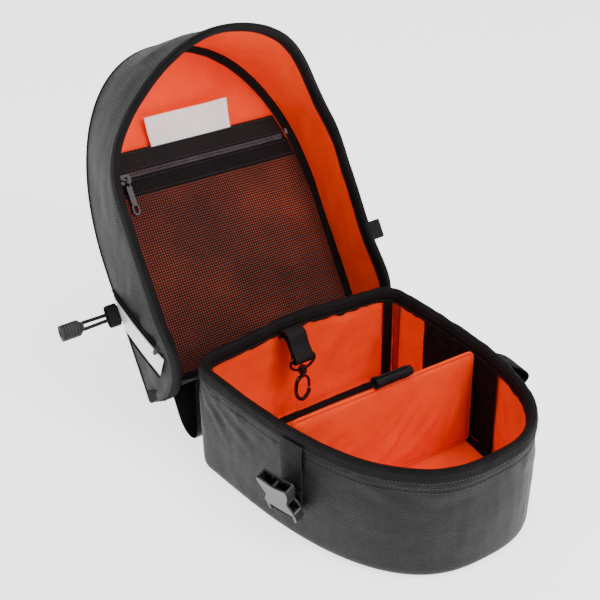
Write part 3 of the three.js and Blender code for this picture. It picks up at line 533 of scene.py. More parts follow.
def tub_shell():
    def at(s, t):
        out, z = along_profile(WALL_PROFILE, t)
        return wall(s, out, z + rim_rise(s) * soft_step(60, 105, z))

    def puff(s, t):
        _, z = along_profile(WALL_PROFILE, t)
        strength = soft_step(2, 20, z)
        ripple = rumple(s * GIRTH, z, 2.0, 0.9) + 0.5 * drift(s * 90, z * 0.02, 4)
        hem = 0.6 * bell(z, 89.5, 1.4)
        return hem - (ripple + crease(s, z)) * strength

    skin("tub_shell", at, 460, 64, (GIRTH, 124), SHELL, "tub", ring=True, puff=puff,
         replaces=["tub_wall"], slot="shell")
    places = [k / 460 for k in range(461)]
    lines = [[wall(s, 0.9 + rumple(s * GIRTH, z, 2.0, 0.9) + crease(s, z), z + rim_rise(s) * 0.9)
              for s in places]
             for z in (91.6, 87.4)]
    stitches("tub_shell_stitches", lines, "tub")


def tub_binding():
    section = [(1.0, 94.9), (1.6, 95.3), (1.9, 98), (1.7, 102), (1.2, 105.2), (0.0, 107.2), (-2.2, 108.0),
               (-4.6, 107.4),
               (-6.4, 105.4), (-7.5, 102), (-7.9, 98), (-7.6, 95.4), (-7.0, 94.9), (-6.6, 95.4), (-6.4, 100),
               (-4.8, 104.6),
               (-2, 105.4), (0.2, 103), (0.6, 98), (0.6, 95.4)]
    columns = 460
    points, uvs = [], []
    for i in range(columns):
        s = i / columns
        sway = 0.9 * drift(s * 26, 0.4, 5) + 0.5 * drift(s * 61, 0.4, 8)
        for k, (out, z) in enumerate(section):
            foot = 1 - soft_step(95, 104, z)
            wavy = (1.3 * drift(s * 40, (k < 6) * 5.0, 2) + 0.9 * drift(s * 95, (k < 6) * 5.0, 4)) * 1.4 * foot
            lump = 0.5 * drift(s * 70, k * 0.35, 12)
            points.append(wall(s, out + sway * 0.6 + wavy * 0.35 + lump, z + rim_rise(s) + wavy + lump))
            uvs.append((s * GIRTH, k * 2.4))
    rows = len(section)
    faces = grid(columns, rows, ring=True, tube=True)
    make("tub_binding", points, faces, uvs, BINDING, "tub", replaces=["tub_rim_binding"], slot="webbing")
    lines = []
    for out, z in ((2.45, 97.6), (-8.6, 97.6)):
        lines.append([wall(k / 460, out + 0.54 * drift(k / 460 * 26, 0.4, 5), z + rim_rise(k / 460))
                      for k in range(461)])
    stitches("tub_binding_stitches", lines, "tub", pitch=3.0, length=2.0)


# ---------------------------------------------------------------- tub: inside
def pucker(s, z):
    """Puckers where the lining is gathered round the nose."""
    from_nose = abs(s - S_NOSE) * GIRTH
    strength = 1 - soft_step(70, 190, from_nose)
    wave = math.sin(s * GIRTH / 7.5 + 2.2 * drift(s * 19, z * 0.02, 3))
    tall = soft_step(10, 40, z) * (1 - 0.35 * soft_step(70, 95, z))
    return strength * tall * (2.0 * wave + 1.8 * drift(s * 70, z * 0.035, 11))


def tub_inside():
    profile = [(-LINING_IN, 97), (-LINING_IN - 0.4, 70), (-LINING_IN - 0.8, 30), (-LINING_IN - 1.2, 15),
               (-LINING_IN - 3, 9.4),
               (-LINING_IN - 7, 7.6)]

    def at(s, t):
        out, z = along_profile(profile, t)
        return wall(s, out, z + rim_rise(s) * soft_step(60, 100, z))

    def puff(s, t):
        _, z = along_profile(profile, t)
        free = soft_step(8, 22, z) * (1 - soft_step(88, 97, z))
        return -max(pucker(s, z) + 1.6 * rumple(s * GIRTH, z, 13.0) + 1.2, -0.6) * free

    skin("tub_lining_wall", at, 420, 46, (GIRTH, 96), LINING, "tub", ring=True, puff=puff,
         replaces=["tub_lining"], slot="lining")
    points, uvs, faces = [], [], []
    rings, columns = 26, 180
    for j in range(rings):
        q = j / (rings - 1)
        for i in range(columns):
            edge = wall(i / columns, -LINING_IN - 6, 0)
            x, y = edge.x * (1 - q), edge.y * (1 - q)
            z = 7.5 + 0.7 * rumple(x, y, 21.0) * soft_step(0, 0.15, q)
            points.append((x, y, z))
            uvs.append((x, y))
    for j in range(rings - 1):
        for i in range(columns):
            k = (i + 1) % columns
            faces.append((j * columns + i, j * columns + k, (j + 1) * columns + k, (j + 1) * columns + i))
    make("tub_floor", points, faces, uvs, LINING, "tub", slot="lining")
    strip_profile = [(-LINING_IN - 1.5, 12.5), (-LINING_IN - 4.2, 9.4), (-LINING_IN - 7.5, 8.4),
                     (-LINING_IN - 8.5, 8.0)]
    skin("floor_seam_tape", lambda s, t: wall(s, *along_profile(strip_profile, t)), 300, 6, (GIRTH, 8),
         BINDING, "tub",
         ring=True, puff=lambda s, t: -0.3 * drift(s * 60, t, 1), slot="webbing")


def corner_tapes():
    for side, label in SIDES:
        middle = S_BACK_LEFT if side < 0 else S_BACK_RIGHT
        half = 7 / GIRTH

        def at(s, t, middle=middle, half=half):
            place = middle + (s - 0.5) * 2 * half
            z = 12 + t * (97 + rim_rise(place) - 12)
            return wall(place, -LINING_IN - 2.6 - 0.5 * math.sin(math.pi * s), z)

        skin(f"corner_seam_tape_{label}", at, 12, 60, (14, 88), BINDING, "tub",
             puff=lambda s, t: 0.6 * drift(s * 2, t * 9, 5),
             replaces=[f"corner_tape_{label}"], slot="webbing")
        if side > 0:
            # Painted shade: this fold of lining is drawn in the darker red copy of the lining, for the shade inside
            # the corner.
            def fold(s, t, middle=middle):
                place = middle + (9 + s * 11) / GIRTH
                z = 14 + t * (96 + rim_rise(place) - 14)
                return wall(place, -LINING_IN - 2.0 - 2.6 * math.sin(math.pi * s), z)

            skin("lining_fold_right", fold, 12, 60, (11, 84), LINING_FOLD_SHADE, "tub",
                 puff=lambda s, t: 0.8 * drift(s * 2, t * 7, 15), slot="lining")


def loop_fields():
    for side, label in SIDES:
        a, b = s_of(side * 109, -38), s_of(side * 113, 72)

        def at(s, t, a=a, b=b):
            place = a + (b - a) * s
            z = 12 + t * (98 + rim_rise(place) - 12)
            return wall(place, -LINING_IN - 3.2, z)

        skin(f"loop_pile_{label}", at, 90, 70, (102, 82), PILE, "tub",
             puff=lambda s, t: -0.9 * abs(drift(s * 70, t * 56, 2)) - 0.6 * drift(s * 6, t * 5, 2),
             replaces=[f"loop_field_{label}"], slot="hook_and_loop")


# ---------------------------------------------------------------- divider
DIVIDER_HALF, DIVIDER_TOP, DIVIDER_FOOT = 98, 102.5, 9.4
DIVIDER_TURN = math.radians(-2.1)


def divider_frame(u, w, out):
    """A point of the divider: u across, w up, out toward the nose."""
    c, s = math.cos(DIVIDER_TURN), math.sin(DIVIDER_TURN)
    return Vector((u * c + out * s, 4 + u * s - out * c, w))


def divider_edge(a):
    """The padded divider's outline, a rounded rectangle, at share a round it."""
    r, h = 6, (DIVIDER_TOP - DIVIDER_FOOT) / 2
    w = DIVIDER_HALF - 0.6
    straight = [2 * (w - r), 2 * (h - r), 2 * (w - r), 2 * (h - r)]
    arc = math.pi * r / 2
    mark = (a % 1.0) * (sum(straight) + 4 * arc)
    corners = [(-w + r, h, 1, 0), (w, h - r, 0, -1), (w - r, -h, -1, 0), (-w, -h + r, 0, 1)]
    for k in range(4):
        x, y, dx, dy = corners[k]
        if mark <= straight[k]:
            return x + dx * mark, y + dy * mark
        mark -= straight[k]
        if mark <= arc:
            x, y = x + dx * straight[k], y + dy * straight[k]
            ahead, aside = r * math.sin(mark / r), r * (1 - math.cos(mark / r))
            return x + dx * ahead + dy * aside, y + dy * ahead - dx * aside
        mark -= arc
    return corners[0][:2]


def plump(piece, voxel, pressure, cap, pinned, swell_frames=20):
    """Fills a closed cover like a pad, by a cloth run held at its seams and moved no further than the cap."""
    bpy.context.view_layer.objects.active = piece
    remesh = piece.modifiers.new("even", "REMESH")
    remesh.mode = "VOXEL"
    remesh.voxel_size = voxel * MM
    bpy.ops.object.modifier_apply(modifier=remesh.name)
    mesh = piece.data
    start = np.array([v.co[:] for v in mesh.vertices])
    group = piece.vertex_groups.new(name="seams")
    for v in mesh.vertices:
        group.add([v.index], 1.0 if pinned(*[c / MM for c in v.co]) else 0.0, "REPLACE")
    cloth = piece.modifiers.new("cover", "CLOTH")
    cloth.settings.use_pressure = True
    cloth.settings.uniform_pressure_force = pressure
    cloth.settings.vertex_group_mass = group.name
    cloth.settings.effector_weights.gravity = 0
    cloth.settings.tension_stiffness = 12
    cloth.settings.compression_stiffness = 12
    cloth.settings.bending_stiffness = 0.4
    for frame_number in range(1, swell_frames + 1):
        scene.frame_set(frame_number)
    moved = piece.evaluated_get(bpy.context.evaluated_depsgraph_get()).to_mesh()
    end = np.array([v.co[:] for v in moved.vertices])
    piece.modifiers.remove(cloth)
    piece.vertex_groups.clear()
    scene.frame_set(1)
    gap = end - start
    size = np.maximum(np.linalg.norm(gap, axis=1), 1e-9)[:, None]
    start = start + gap * np.minimum(1, cap * MM / size)
    mesh.vertices.foreach_set("co", start.ravel())
    layer = mesh.uv_layers.get("flat") or mesh.uv_layers.new(name="flat")
    for loop in mesh.loops:
        x, _, z = start[loop.vertex_index]
        layer.data[loop.index].uv = (x / MM, z / MM)
    mesh.polygons.foreach_set("use_smooth", [True] * len(mesh.polygons))
    piece.modifiers.new("round", "SUBSURF").levels = 1


DRAGS = [  # folds drawn across the divider's cloth: (across, up, slant, half length, height), in millimetres
    (-8, -22, 0.75, 24, 1.5), (12, -4, 0.9, 26, 1.3), (40, -14, 0.6, 30, 1.6), (58, 8, 1.0, 22, 1.0),
    (-48, -8, 0.35, 30, 1.4), (-70, 14, 0.2, 24, 1.2), (22, -30, 0.3, 20, 1.1), (76, -10, 1.3, 26, 1.0),
]


def divider():
    points, uvs = [], []
    columns, rows, corner = 76, 38, 6
    mid, high = (DIVIDER_TOP + DIVIDER_FOOT) / 2, (DIVIDER_TOP - DIVIDER_FOOT) / 2
    for face in (-1, 1):
        for i in range(columns):
            for j in range(rows):
                y = high * math.sin((j / (rows - 1) - 0.5) * math.pi)
                wide = DIVIDER_HALF - corner + math.sqrt(corner ** 2 - max(0, abs(y) - high + corner) ** 2)
                x = wide * math.sin((i / (columns - 1) - 0.5) * math.pi)
                edge = min(clamp((wide - abs(x)) / 16), clamp((high - abs(y)) / 16))
                swell = 4.0 * math.sqrt(1 - (1 - edge) ** 2)
                soft = 0.5 * rumple(x, y, 30 + face) + 0.9 * drift(x * 0.02 + y * 0.05, x * 0.012 - y * 0.02,
                        40 + face)
                gather = 0.9 * (1 - soft_step(-97, -66, x)) * math.sin(y / 4.6 + 1.5 * drift(x * 0.05,
                        y * 0.04, 2))
                drag = sum(h * bell((x - cx) * math.sin(a) - (y - cy) * math.cos(a), 0, 3.6) *
                           bell((x - cx) * math.cos(a) + (y - cy) * math.sin(a), 0, run) for cx, cy, a, run,
                           h in DRAGS)
                points.append(divider_frame(x, mid + y,
                                            face * max(swell + (soft + gather + 1.7 * drag) * edge, 0.3)))
                uvs.append((x, y))
    quads = grid(columns, rows)
    shift = columns * rows
    faces = [tuple(reversed(q)) for q in quads] + [tuple(v + shift for v in q) for q in quads]
    border = [i * rows for i in range(columns)] + [(columns - 1) * rows + j for j in range(1, rows)]
    border += [i * rows + rows - 1 for i in reversed(range(columns - 1))]
    border += list(reversed(range(1, rows - 1)))
    faces += [(a, b, b + shift, a + shift) for a, b in zip(border, border[1:] + border[:1])]
    pad = make("divider_padding", points, faces, uvs, LINING, "divider",
               replaces=["divider_pad", "divider_hook_tab_left", "divider_hook_tab_right"], slot="lining")

    def near_seam(x, _, z):
        return DIVIDER_HALF - abs(x) < 4 or high - abs(z - mid) < 4

    plump(pad, 3.0, 3.0, 3.0, near_seam)
    piping = [divider_frame(x, mid + y, 0) for x, y in (divider_edge(i / 260) for i in range(260))]
    tube("divider_piping", piping, 1.5, LINING, "divider", sides=10, loop=True, slot="lining")
    for side, label in SIDES:
        tab = [divider_frame(side * (DIVIDER_HALF + 0.2), h, 0) for h in (20, 48, 78)]
        ribbon(f"divider_hook_tape_{label}", tab, (0, 1, 0), 8, 1.0, PILE, "divider", slot="hook_and_loop")


def grab_loop():
    """Webbing rolled into a handle on the divider's top edge, open at its left end."""
    x0, x1, centre = -12, 27, DIVIDER_TOP + 6.6
    turns = [math.radians(a) for a in range(-250, 100, 10)]
    points, uvs = [], []
    columns = 34
    section = [(4.9 + 0.3 * k / len(turns), a) for k, a in enumerate(turns)]
    ring = section + [(r - 1.5, a) for r, a in reversed(section)]
    for i in range(columns):
        u = x0 + (x1 - x0) * i / (columns - 1)
        flare = 0.6 * bell(i, 0, 4) - 0.5 * bell(i, columns - 1, 5)
        for k, (r, a) in enumerate(ring):
            wob = 0.35 * drift(u * 0.12, a * 0.8, 6)
            p = divider_frame(u, centre + (r + flare + wob) * math.sin(a), 0)
            q = divider_frame(u, centre, 0)
            points.append(Vector((p.x, q.y + (r + flare + wob) * math.cos(a), p.z)))
            uvs.append((k * 0.9, u))
    rows = len(ring)
    faces = grid(columns, rows, tube=True)
    cap = [(k, k + 1, rows - 2 - k, rows - 1 - k) for k in range(rows // 2 - 1)]
    faces += cap + [tuple((columns - 1) * rows + v for v in reversed(f)) for f in cap]
    make("grab_loop_roll", points, faces, uvs, WEBBING, "divider", replaces=["divider_grab_loop"],
         slot="webbing")
    lines = [[divider_frame(u, DIVIDER_TOP + 1.8, 4.6) for u in range(-11, 27)]]
    stitches("grab_loop_stitches", lines, "divider", pitch=2.6, length=1.8)


# ---------------------------------------------------------------- key leash
def key_leash():
    x = -12
    face = BACK + BOW - LINING_IN - 0.4 - 1.2 - 0.4 - 1
    top = HEIGHT - 4
    eye_y, eye_z = face - 22, top - 18
    path = [(x, face + 1, top - 6), (x, face - 1, top + 1.5), (x, face - 5, top + 4.5),
            (x, face - 13, top + 3), (x, face - 18, top - 7),
            (x, eye_y - 3.6, eye_z + 1), (x, eye_y - 3.2, eye_z - 3), (x, eye_y, eye_z - 4.4),
            (x, eye_y + 3.4, eye_z - 2.4),
            (x, eye_y + 4.6, eye_z + 4), (x, face - 12, top - 5), (x, face - 5.5, top - 1)]
    ribbon("key_webbing", path, (1, 0, 0), 20, 1.5, WEBBING, "tub", replaces=["key_strap"], slot="webbing")
    for name in ("key_bail", "key_hook", "key_gate"):
        paint(name, GLOSSY)
    rows = []
    for z in (top - 9, top - 12):
        rows.append([(x + u, face - 17.6 - (top - 6 - z) * 0.25 - 1.2, z) for u in np.linspace(-9, 9, 12)])
    stitches("key_webbing_stitches", rows, "tub", pitch=2.4, length=1.6, thick=0.5)


def paint(name, material):
    slots = NODES[name].data.materials
    slots.clear()
    slots.append(material)


# ---------------------------------------------------------------- side straps and buckles
STRAP_Y, STRAP_FOOT, WALL_TURN = -11, 34, 9


def strap_point(side, out, along, z):
    """A point of a side strap: out from the wall, along it, and up."""
    turn = math.radians(-WALL_TURN if side > 0 else 180 + WALL_TURN)
    half = SIDE * (1 - ((NOSE_START - STRAP_Y) / NOSE_LENGTH) ** NOSE_POWER) ** (1 / NOSE_POWER)
    c, s = math.cos(turn), math.sin(turn)
    return Vector((side * (half + 1.9) + out * c - along * s, STRAP_Y + out * s + along * c, z))


def plates(name, pieces, place, material, body, soft=0.45, **facts):
    """Moulded plates as one piece: each is (outlines, low, high), the first outline its edge, the others holes."""
    points, faces, uvs = [], [], []
    for loops, low, high in pieces:
        start, flat = len(points), [p for loop in loops for p in loop]
        n = len(flat)
        for depth in (low, high):
            points += [place(u, w, depth) for u, w in flat]
            uvs += flat
        for a, b, c in tessellate_polygon([[Vector((u, w, 0)) for u, w in loop] for loop in loops]):
            faces += [(start + c, start + b, start + a), (start + n + a, start + n + b, start + n + c)]
        first = start
        for loop in loops:
            count = len(loop)
            faces += [(first + k, first + (k + 1) % count, first + n + (k + 1) % count, first + n + k)
                      for k in range(count)]
            first += count
    piece = make(name, points, faces, uvs, material, body, smooth=False, **facts)
    mesh = bmesh.new()
    mesh.from_mesh(piece.data)
    bmesh.ops.recalc_face_normals(mesh, faces=mesh.faces)
    bmesh.ops.dissolve_limit(mesh, angle_limit=0.02, verts=mesh.verts, edges=mesh.edges)
    mesh.to_mesh(piece.data)
    mesh.free()
    edge = piece.modifiers.new("soft_edges", "BEVEL")
    edge.width = soft * MM
    edge.segments = 2
    edge.limit_method = "ANGLE"
    return piece


def both_sides(half):
    return half + [(-u, w) for u, w in reversed(half)]


def box_outline(u0, u1, w0, w1):
    return [(u0, w0), (u1, w0), (u1, w1), (u0, w1)]


def buckle_socket(side, label):
    """The female half: two waisted faces, rails, a guide rib in its mouth and a bar for the strap."""
    lean = math.radians(20)

    def place(u, w, t):
        return strap_point(side, 7.4 + (w - 1.8) * math.sin(lean) + t * math.cos(lean), u,
                           STRAP_FOOT + (w - 1.8) * math.cos(lean) - t * math.sin(lean))

    front = both_sides([(4, 39.5), (8, 40.6), (14.5, 42), (17, 41), (17, 36), (14.8, 30), (12.2, 24),
                        (12.4, 20), (14.6, 17.4), (16.2, 14),
                        (16.4, 9.6), (14.6, 8.8)])
    back = both_sides([(5, 41.2), (14.5, 42), (17, 41), (17, 36), (14.8, 30), (12.2, 24), (12.4, 20),
                       (14.6, 17.4), (16.2, 14), (16.4, 9.6),
                       (14.6, 8.8)])
    pieces = [([front], 3.7, 5.5), ([back], -5.5, -3.7)]
    for s in (-1, 1):
        pieces.append(([[(s * u, w) for u, w in ((15.2, 41.6), (17, 41.2), (17, 36), (14.8, 30), (12.2, 24),
                (12.4, 21.5), (10.6, 21.5),
                                                 (10.4, 24), (13, 30), (15.2, 36))]], -5.4, 5.4))
        pieces.append(([[(s * u, w) for u, w in ((13.3, -0.6), (15.4, 0.2), (16.4, 4), (16.4, 11), (15, 12.2),
                (13.3, 11))]], -4.6, 5.0))
        pieces.append(([box_outline(s * 5.6 - 0.7, s * 5.6 + 0.7, 24, 40.2)], -3.8, -2.2))
    pieces.append(([box_outline(-1.3, 1.3, 22, 38.6)], -3.8, 3.8))
    pieces.append(([box_outline(-14, 14, 8.6, 11.4)], -5.0, 5.0))
    pieces.append(([box_outline(-14, 14, 0.2, 3.4)], -1.6, 1.6))
    plates(f"side_buckle_{label}", pieces, place, BUCKLE, f"socket_{label}",
           replaces=[f"buckle_socket_{label}"],
           slot="moulded_plastic")


def side_straps():
    for side, label in SIDES:
        z, eye = STRAP_FOOT, 7.4
        across = strap_point(side, 0, 1, 0) - strap_point(side, 0, 0, 0)
        r = 1.8 + 1.1 + 0.8
        slack = 1.0 if side > 0 else 0.0
        outer = [(1.4, 100, -8 * slack), (2.2 + 10 * slack, 96, -13 * slack),
                 (2.6 + 17 * slack, 89, -17 * slack),
                 (2.0 + 15 * slack, 80, -15 * slack), (1.2 + 5 * slack, 69, -9 * slack), (0.9, 58, -2 * slack),
                 (0.9, 50, 0), (1.0, 40, 0)]
        turn = [(eye + r * math.cos(math.radians(a)), z + r * math.sin(math.radians(a)), 0)
                for a in range(205, 400, 15)]
        back = [(eye - 0.6, z + 5.2, 0), (3.3, z + 9.4, 0), (2.7, z + 15, 0), (2.6, z + 23, 0)]
        upper = [strap_point(side, o, u, h) for o, h, u in outer[:6]]
        slack_strap = ribbon(f"side_webbing_top_{label}", upper, across, 25, 1.5, WEBBING, "tub", wave=0.5,
                             slot="webbing")
        if side > 0:
            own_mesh(slack_strap)
        lower = [strap_point(side, o, u, h) for o, h, u in outer[5:] + turn + back]
        ribbon(f"side_webbing_{label}", lower, across, 25, 1.5, WEBBING, "tub", wave=0.3,
               replaces=[f"buckle_strap_{label}"], slot="webbing")
        rows = []
        for h in (z + 12, z + 20):
            rows.append([strap_point(side, 3.8, u, h) for u in np.linspace(-11, 11, 12)])
        rows.append([strap_point(side, 3.8, u * 11, z + 12 + 8 * (u + 1) / 2) for u in np.linspace(-1, 1, 10)])
        rows.append([strap_point(side, 3.8, u * 11, z + 20 - 8 * (u + 1) / 2) for u in np.linspace(-1, 1, 10)])
        stitches(f"side_webbing_stitches_{label}", rows, "tub", pitch=2.6, length=1.8)
        buckle_socket(side, label)
        paint(f"closing_plug_{label}", BUCKLE)


# ---------------------------------------------------------------- the lid's own frame
HALF, RIM_HALF, TAIL, SIDE_END, NOSE, POWER = 122, 121.4, -25, 97, 287, 2.2
RIM_TURN, RIM_NOSE, DEPTH, HOOD, HOOD_START = 150, 274, 70, 53, 175
CORNER_RISE, CORNER_LENGTH = 30, 41
HINGE = Vector((0, 139, 84))
LEAN = math.radians(59.2)
HINGE_ALONG, HINGE_DEPTH = -10.5, 68.3


def lid(x, v, d):
    """A point of the lid: x across, v along it toward its nose, d from its panel toward its rim."""
    y, z = v - HINGE_ALONG, d - HINGE_DEPTH
    return HINGE + Vector((x, y * math.cos(LEAN) - z * math.sin(LEAN), y * math.sin(LEAN) + z * math.cos(LEAN)))


LID_ACROSS, LID_ALONG, LID_DOWN = [lid(*way) - lid(0, 0, 0) for way in ((1, 0, 0), (0, 1, 0), (0, 0, 1))]


def lid_edges():
    """Matching stations of the panel's edge and the rim, from the right tail corner round the nose to the left."""
    panel, rim = [], []
    corners = np.linspace(0, math.pi / 2, 16)
    for a in corners:
        v = TAIL + CORNER_LENGTH * (1 - math.cos(a))
        panel.append((HALF, v))
        rim.append((RIM_HALF, v, CORNER_RISE + (DEPTH + 5 - CORNER_RISE) * math.sin(a)))
    v0 = TAIL + CORNER_LENGTH
    for q in np.linspace(0, 1, 24)[1:]:
        panel.append((HALF, v0 + (SIDE_END - v0) * q))
        rim.append((RIM_HALF, v0 + (RIM_TURN - v0) * q, DEPTH + 5 * (1 - soft_step(0, 0.3, q))))
    for a in np.linspace(0, math.pi / 2, 80)[1:]:
        panel.append((HALF * max(math.cos(a), 0) ** (2 / POWER),
                      SIDE_END + (NOSE - SIDE_END) * math.sin(a) ** (2 / POWER)))
        v = RIM_TURN + (RIM_NOSE - RIM_TURN) * math.sin(a)
        q = clamp((v - HOOD_START) / (RIM_NOSE - HOOD_START)) ** 1.25
        rim.append((RIM_HALF * max(math.cos(a), 0), v, DEPTH + HOOD * q * q * (3 - 2 * q)))
    panel += [(-x, v) for x, v in reversed(panel[:-1])]
    rim += [(-x, v, d) for x, v, d in reversed(rim[:-1])]
    return np.array([(x, v, 0.0) for x, v in panel]), np.array(rim)


PANEL_EDGE, RIM_EDGE = lid_edges()
STATIONS = len(PANEL_EDGE)
_run = np.concatenate([[0], np.cumsum(np.linalg.norm(np.diff(RIM_EDGE, axis=0), axis=1))])
RIM_LENGTH = _run[-1]
_down = RIM_EDGE - PANEL_EDGE
_along = np.gradient((RIM_EDGE + PANEL_EDGE) / 2, axis=0)
GUSSET_IN = np.cross(_down, _along)
GUSSET_IN /= np.linalg.norm(GUSSET_IN, axis=1)[:, None]
if GUSSET_IN[20][0] > 0:
    GUSSET_IN = -GUSSET_IN


def station(s):
    """The station before a place round the lid's side, and the share of the way to the next one."""
    i = float(np.interp(s * RIM_LENGTH, _run, np.arange(STATIONS)))
    k = min(int(i), STATIONS - 2)
    return k, i - k


def gusset(s, share, inward=0.0):
    """A point on the lid's side wall: s round it, share 0 at the panel to 1 at the rim, pushed inward."""
    k, q = station(s)
    a, b = (PANEL_EDGE[k] * (1 - q) + PANEL_EDGE[k + 1] * q), (RIM_EDGE[k] * (1 - q) + RIM_EDGE[k + 1] * q)
    n = GUSSET_IN[k] * (1 - q) + GUSSET_IN[k + 1] * q
    p = a + (b - a) * share + n * inward
    return lid(*p)


def gusset_depth(s):
    k, _ = station(s)
    return float(np.linalg.norm(RIM_EDGE[k] - PANEL_EDGE[k]))


def panel_half(v, inset=0.0):
    q = clamp((v - SIDE_END) / (NOSE - SIDE_END - inset))
    return (HALF - inset) * (1 - q ** POWER) ** (1 / POWER)


# ---------------------------------------------------------------- lid: outside
def lid_outside():
    def billow(s, t):
        tension = math.sin(math.pi * clamp(t))
        side = min(s, 1 - s)
        near_tail = 1 - soft_step(0.05, 0.22, side)
        drag = math.sin(s * 120 + t * 7 + 2 * drift(s * 30, t * 2, 3)) * near_tail * 1.3
        return (1.8 + 2.2 * rumple(s * RIM_LENGTH, t * 80, 50) + drag) * tension

    skin("lid_side_shell", lambda s, t: gusset(s, t * 0.985), 420, 30, (RIM_LENGTH, 80), SHELL, "lid",
         puff=billow,
         replaces=["lid_gusset"], slot="shell")
    points, uvs = [], []
    rows, columns = 90, 60
    for j in range(rows):
        v = TAIL + (NOSE - 1 - TAIL) * j / (rows - 1)
        half = panel_half(v, 0.6)
        for i in range(columns + 1):
            x = half * math.sin((i / columns - 0.5) * math.pi)
            edge = 1 - abs(x) / max(half, 1)
            crown = 1.4 * soft_step(0, 0.5, edge) * soft_step(NOSE, NOSE - 60, v) if v < NOSE else 0
            points.append(lid(x, v, 0.4 - crown * 0.4 + 0.35 * rumple(x, v, 60)))
            uvs.append((x, v))
    faces = grid(rows, columns + 1)
    make("lid_top_shell", points, faces, uvs, SHELL, "lid", replaces=["lid_panel"], slot="shell")
    piping = [lid(x, v, -0.4) for x, v, _ in PANEL_EDGE[::2]]
    tube("lid_edge_piping", piping, 1.0, SHELL, "lid", sides=8, spacing=4, slot="shell")
    tail = [lid(x, TAIL, 1) for x in np.linspace(-HALF, HALF, 20)]
    tube("lid_tail_piping", tail, 1.5, BINDING, "lid", sides=8, spacing=4, slot="webbing")
    inner = [lid(x, TAIL + 7, 6.9 + 0.4 * drift(x * 0.05, 2, 1)) for x in np.linspace(-113, 113, 30)]
    ribbon("lid_tail_binding", inner, LID_ALONG, 13, 1.2, BINDING, "lid", spacing=3, wave=0.4, slot="webbing")
    for side, hand in SIDES:
        corner = [lid_side(side, TAIL + 5.2, d, 0.9) for d in (0.4, 8, 16, 24, 32)]
        ribbon(f"lid_corner_binding_{hand}", corner, LID_ALONG, 11.5, 1.3, BINDING, "lid", spacing=2, wave=0.4,
               slot="webbing")
    back = [lid(x, TAIL - 0.2, 3.6) for x in np.linspace(-117, 117, 30)]
    ribbon("lid_tail_edge", back, LID_DOWN, 6.4, 1.2, BINDING, "lid", spacing=3, wave=0.3, slot="webbing")


def lid_side(side, v, d, out):
    """A point on the lid's side wall at a place along the lid and a depth, stood off it."""
    lean = (HALF - RIM_HALF) / DEPTH
    return lid(side * (HALF - lean * d + out), v, d)


def side_trim():
    """Reflective tape laid aslant from the top's edge to the rim, with a pair of pipings above it and a seam below."""
    slant = math.radians(42)
    across, down = math.sin(slant), math.cos(slant)

    def slanting(side, run, shift, out):
        v, d = 44 - down * run + across * shift, 1 + across * run + down * shift
        return lid_side(side, v, d, out + 2.0 * math.sin(math.pi * clamp(d / DEPTH)))

    def start(shift):
        return -(0.6 + down * shift) / across

    for side, label in SIDES:
        tape = skin(f"reflective_tape_{label}",
                    lambda s, t: slanting(side, start(20 * t) + (61 - start(20 * t)) * s, 20 * t,
                                          1.0 + 0.3 * math.sin(math.pi * t)),
                    50, 10, (66, 20), REFLECTIVE, "lid", slot="reflective",
                    replaces=[f"reflective_strip_{label}", f"strip_piping_{label}"])
        solidify(tape, 0.5)
        for name, shift, radius, end in (("upper", 25.6, 0.9, 54), ("middle", 22.2, 0.9, 58),
                ("lower", -3.5, 0.7, 60)):
            path = [slanting(side, run, shift, 0.9)
                    for run in np.linspace(max(start(shift), 2 if shift < 0 else -99), end, 24)]
            tube(f"tape_piping_{name}_{label}", path, radius, BINDING, "lid", sides=8, slot="webbing")


def lid_binding():
    section = [(-0.3, 12.2), (-1.4, 11.6), (-1.8, 8), (-1.7, 3), (-1.0, 0.2), (0.6, -1.0), (2.2, -1.2),
               (3.7, -0.6), (4.7, 1.5),
               (5.0, 6), (4.9, 11.6), (4.1, 12.2), (3.6, 11.4), (3.6, 4), (0.2, 4), (0.1, 11.4)]
    columns = 430
    points, uvs = [], []
    for i in range(columns):
        s = i / (columns - 1)
        depth = gusset_depth(s)
        wave = 0.7 * drift(s * 23, 1, 3) + 0.4 * drift(s * 57, 1, 6)
        for k, (inward, short) in enumerate(section):
            foot = soft_step(4, 12, short) * 0.9 * drift(s * 38, (k < 5) * 4.0, 2)
            points.append(gusset(s, 1 - (short + foot) / depth, inward - wave * 0.5))
            uvs.append((s * RIM_LENGTH, k * 2.2))
    rows = len(section)
    faces = grid(columns, rows, tube=True)
    faces += ends(columns, rows)
    make("lid_binding", points, faces, uvs, BINDING, "lid", replaces=["lid_rim_binding"], slot="webbing")
    lines = [[gusset(k / 430, 1 - 9.6 / gusset_depth(k / 430), inward) for k in range(431)]
             for inward in (-2.1, 5.3)]
    stitches("lid_binding_stitches", lines, "lid", pitch=3.0, length=2.0)


# ---------------------------------------------------------------- lid: inside
LINING_D = 5.2
POCKET_D = 5.6


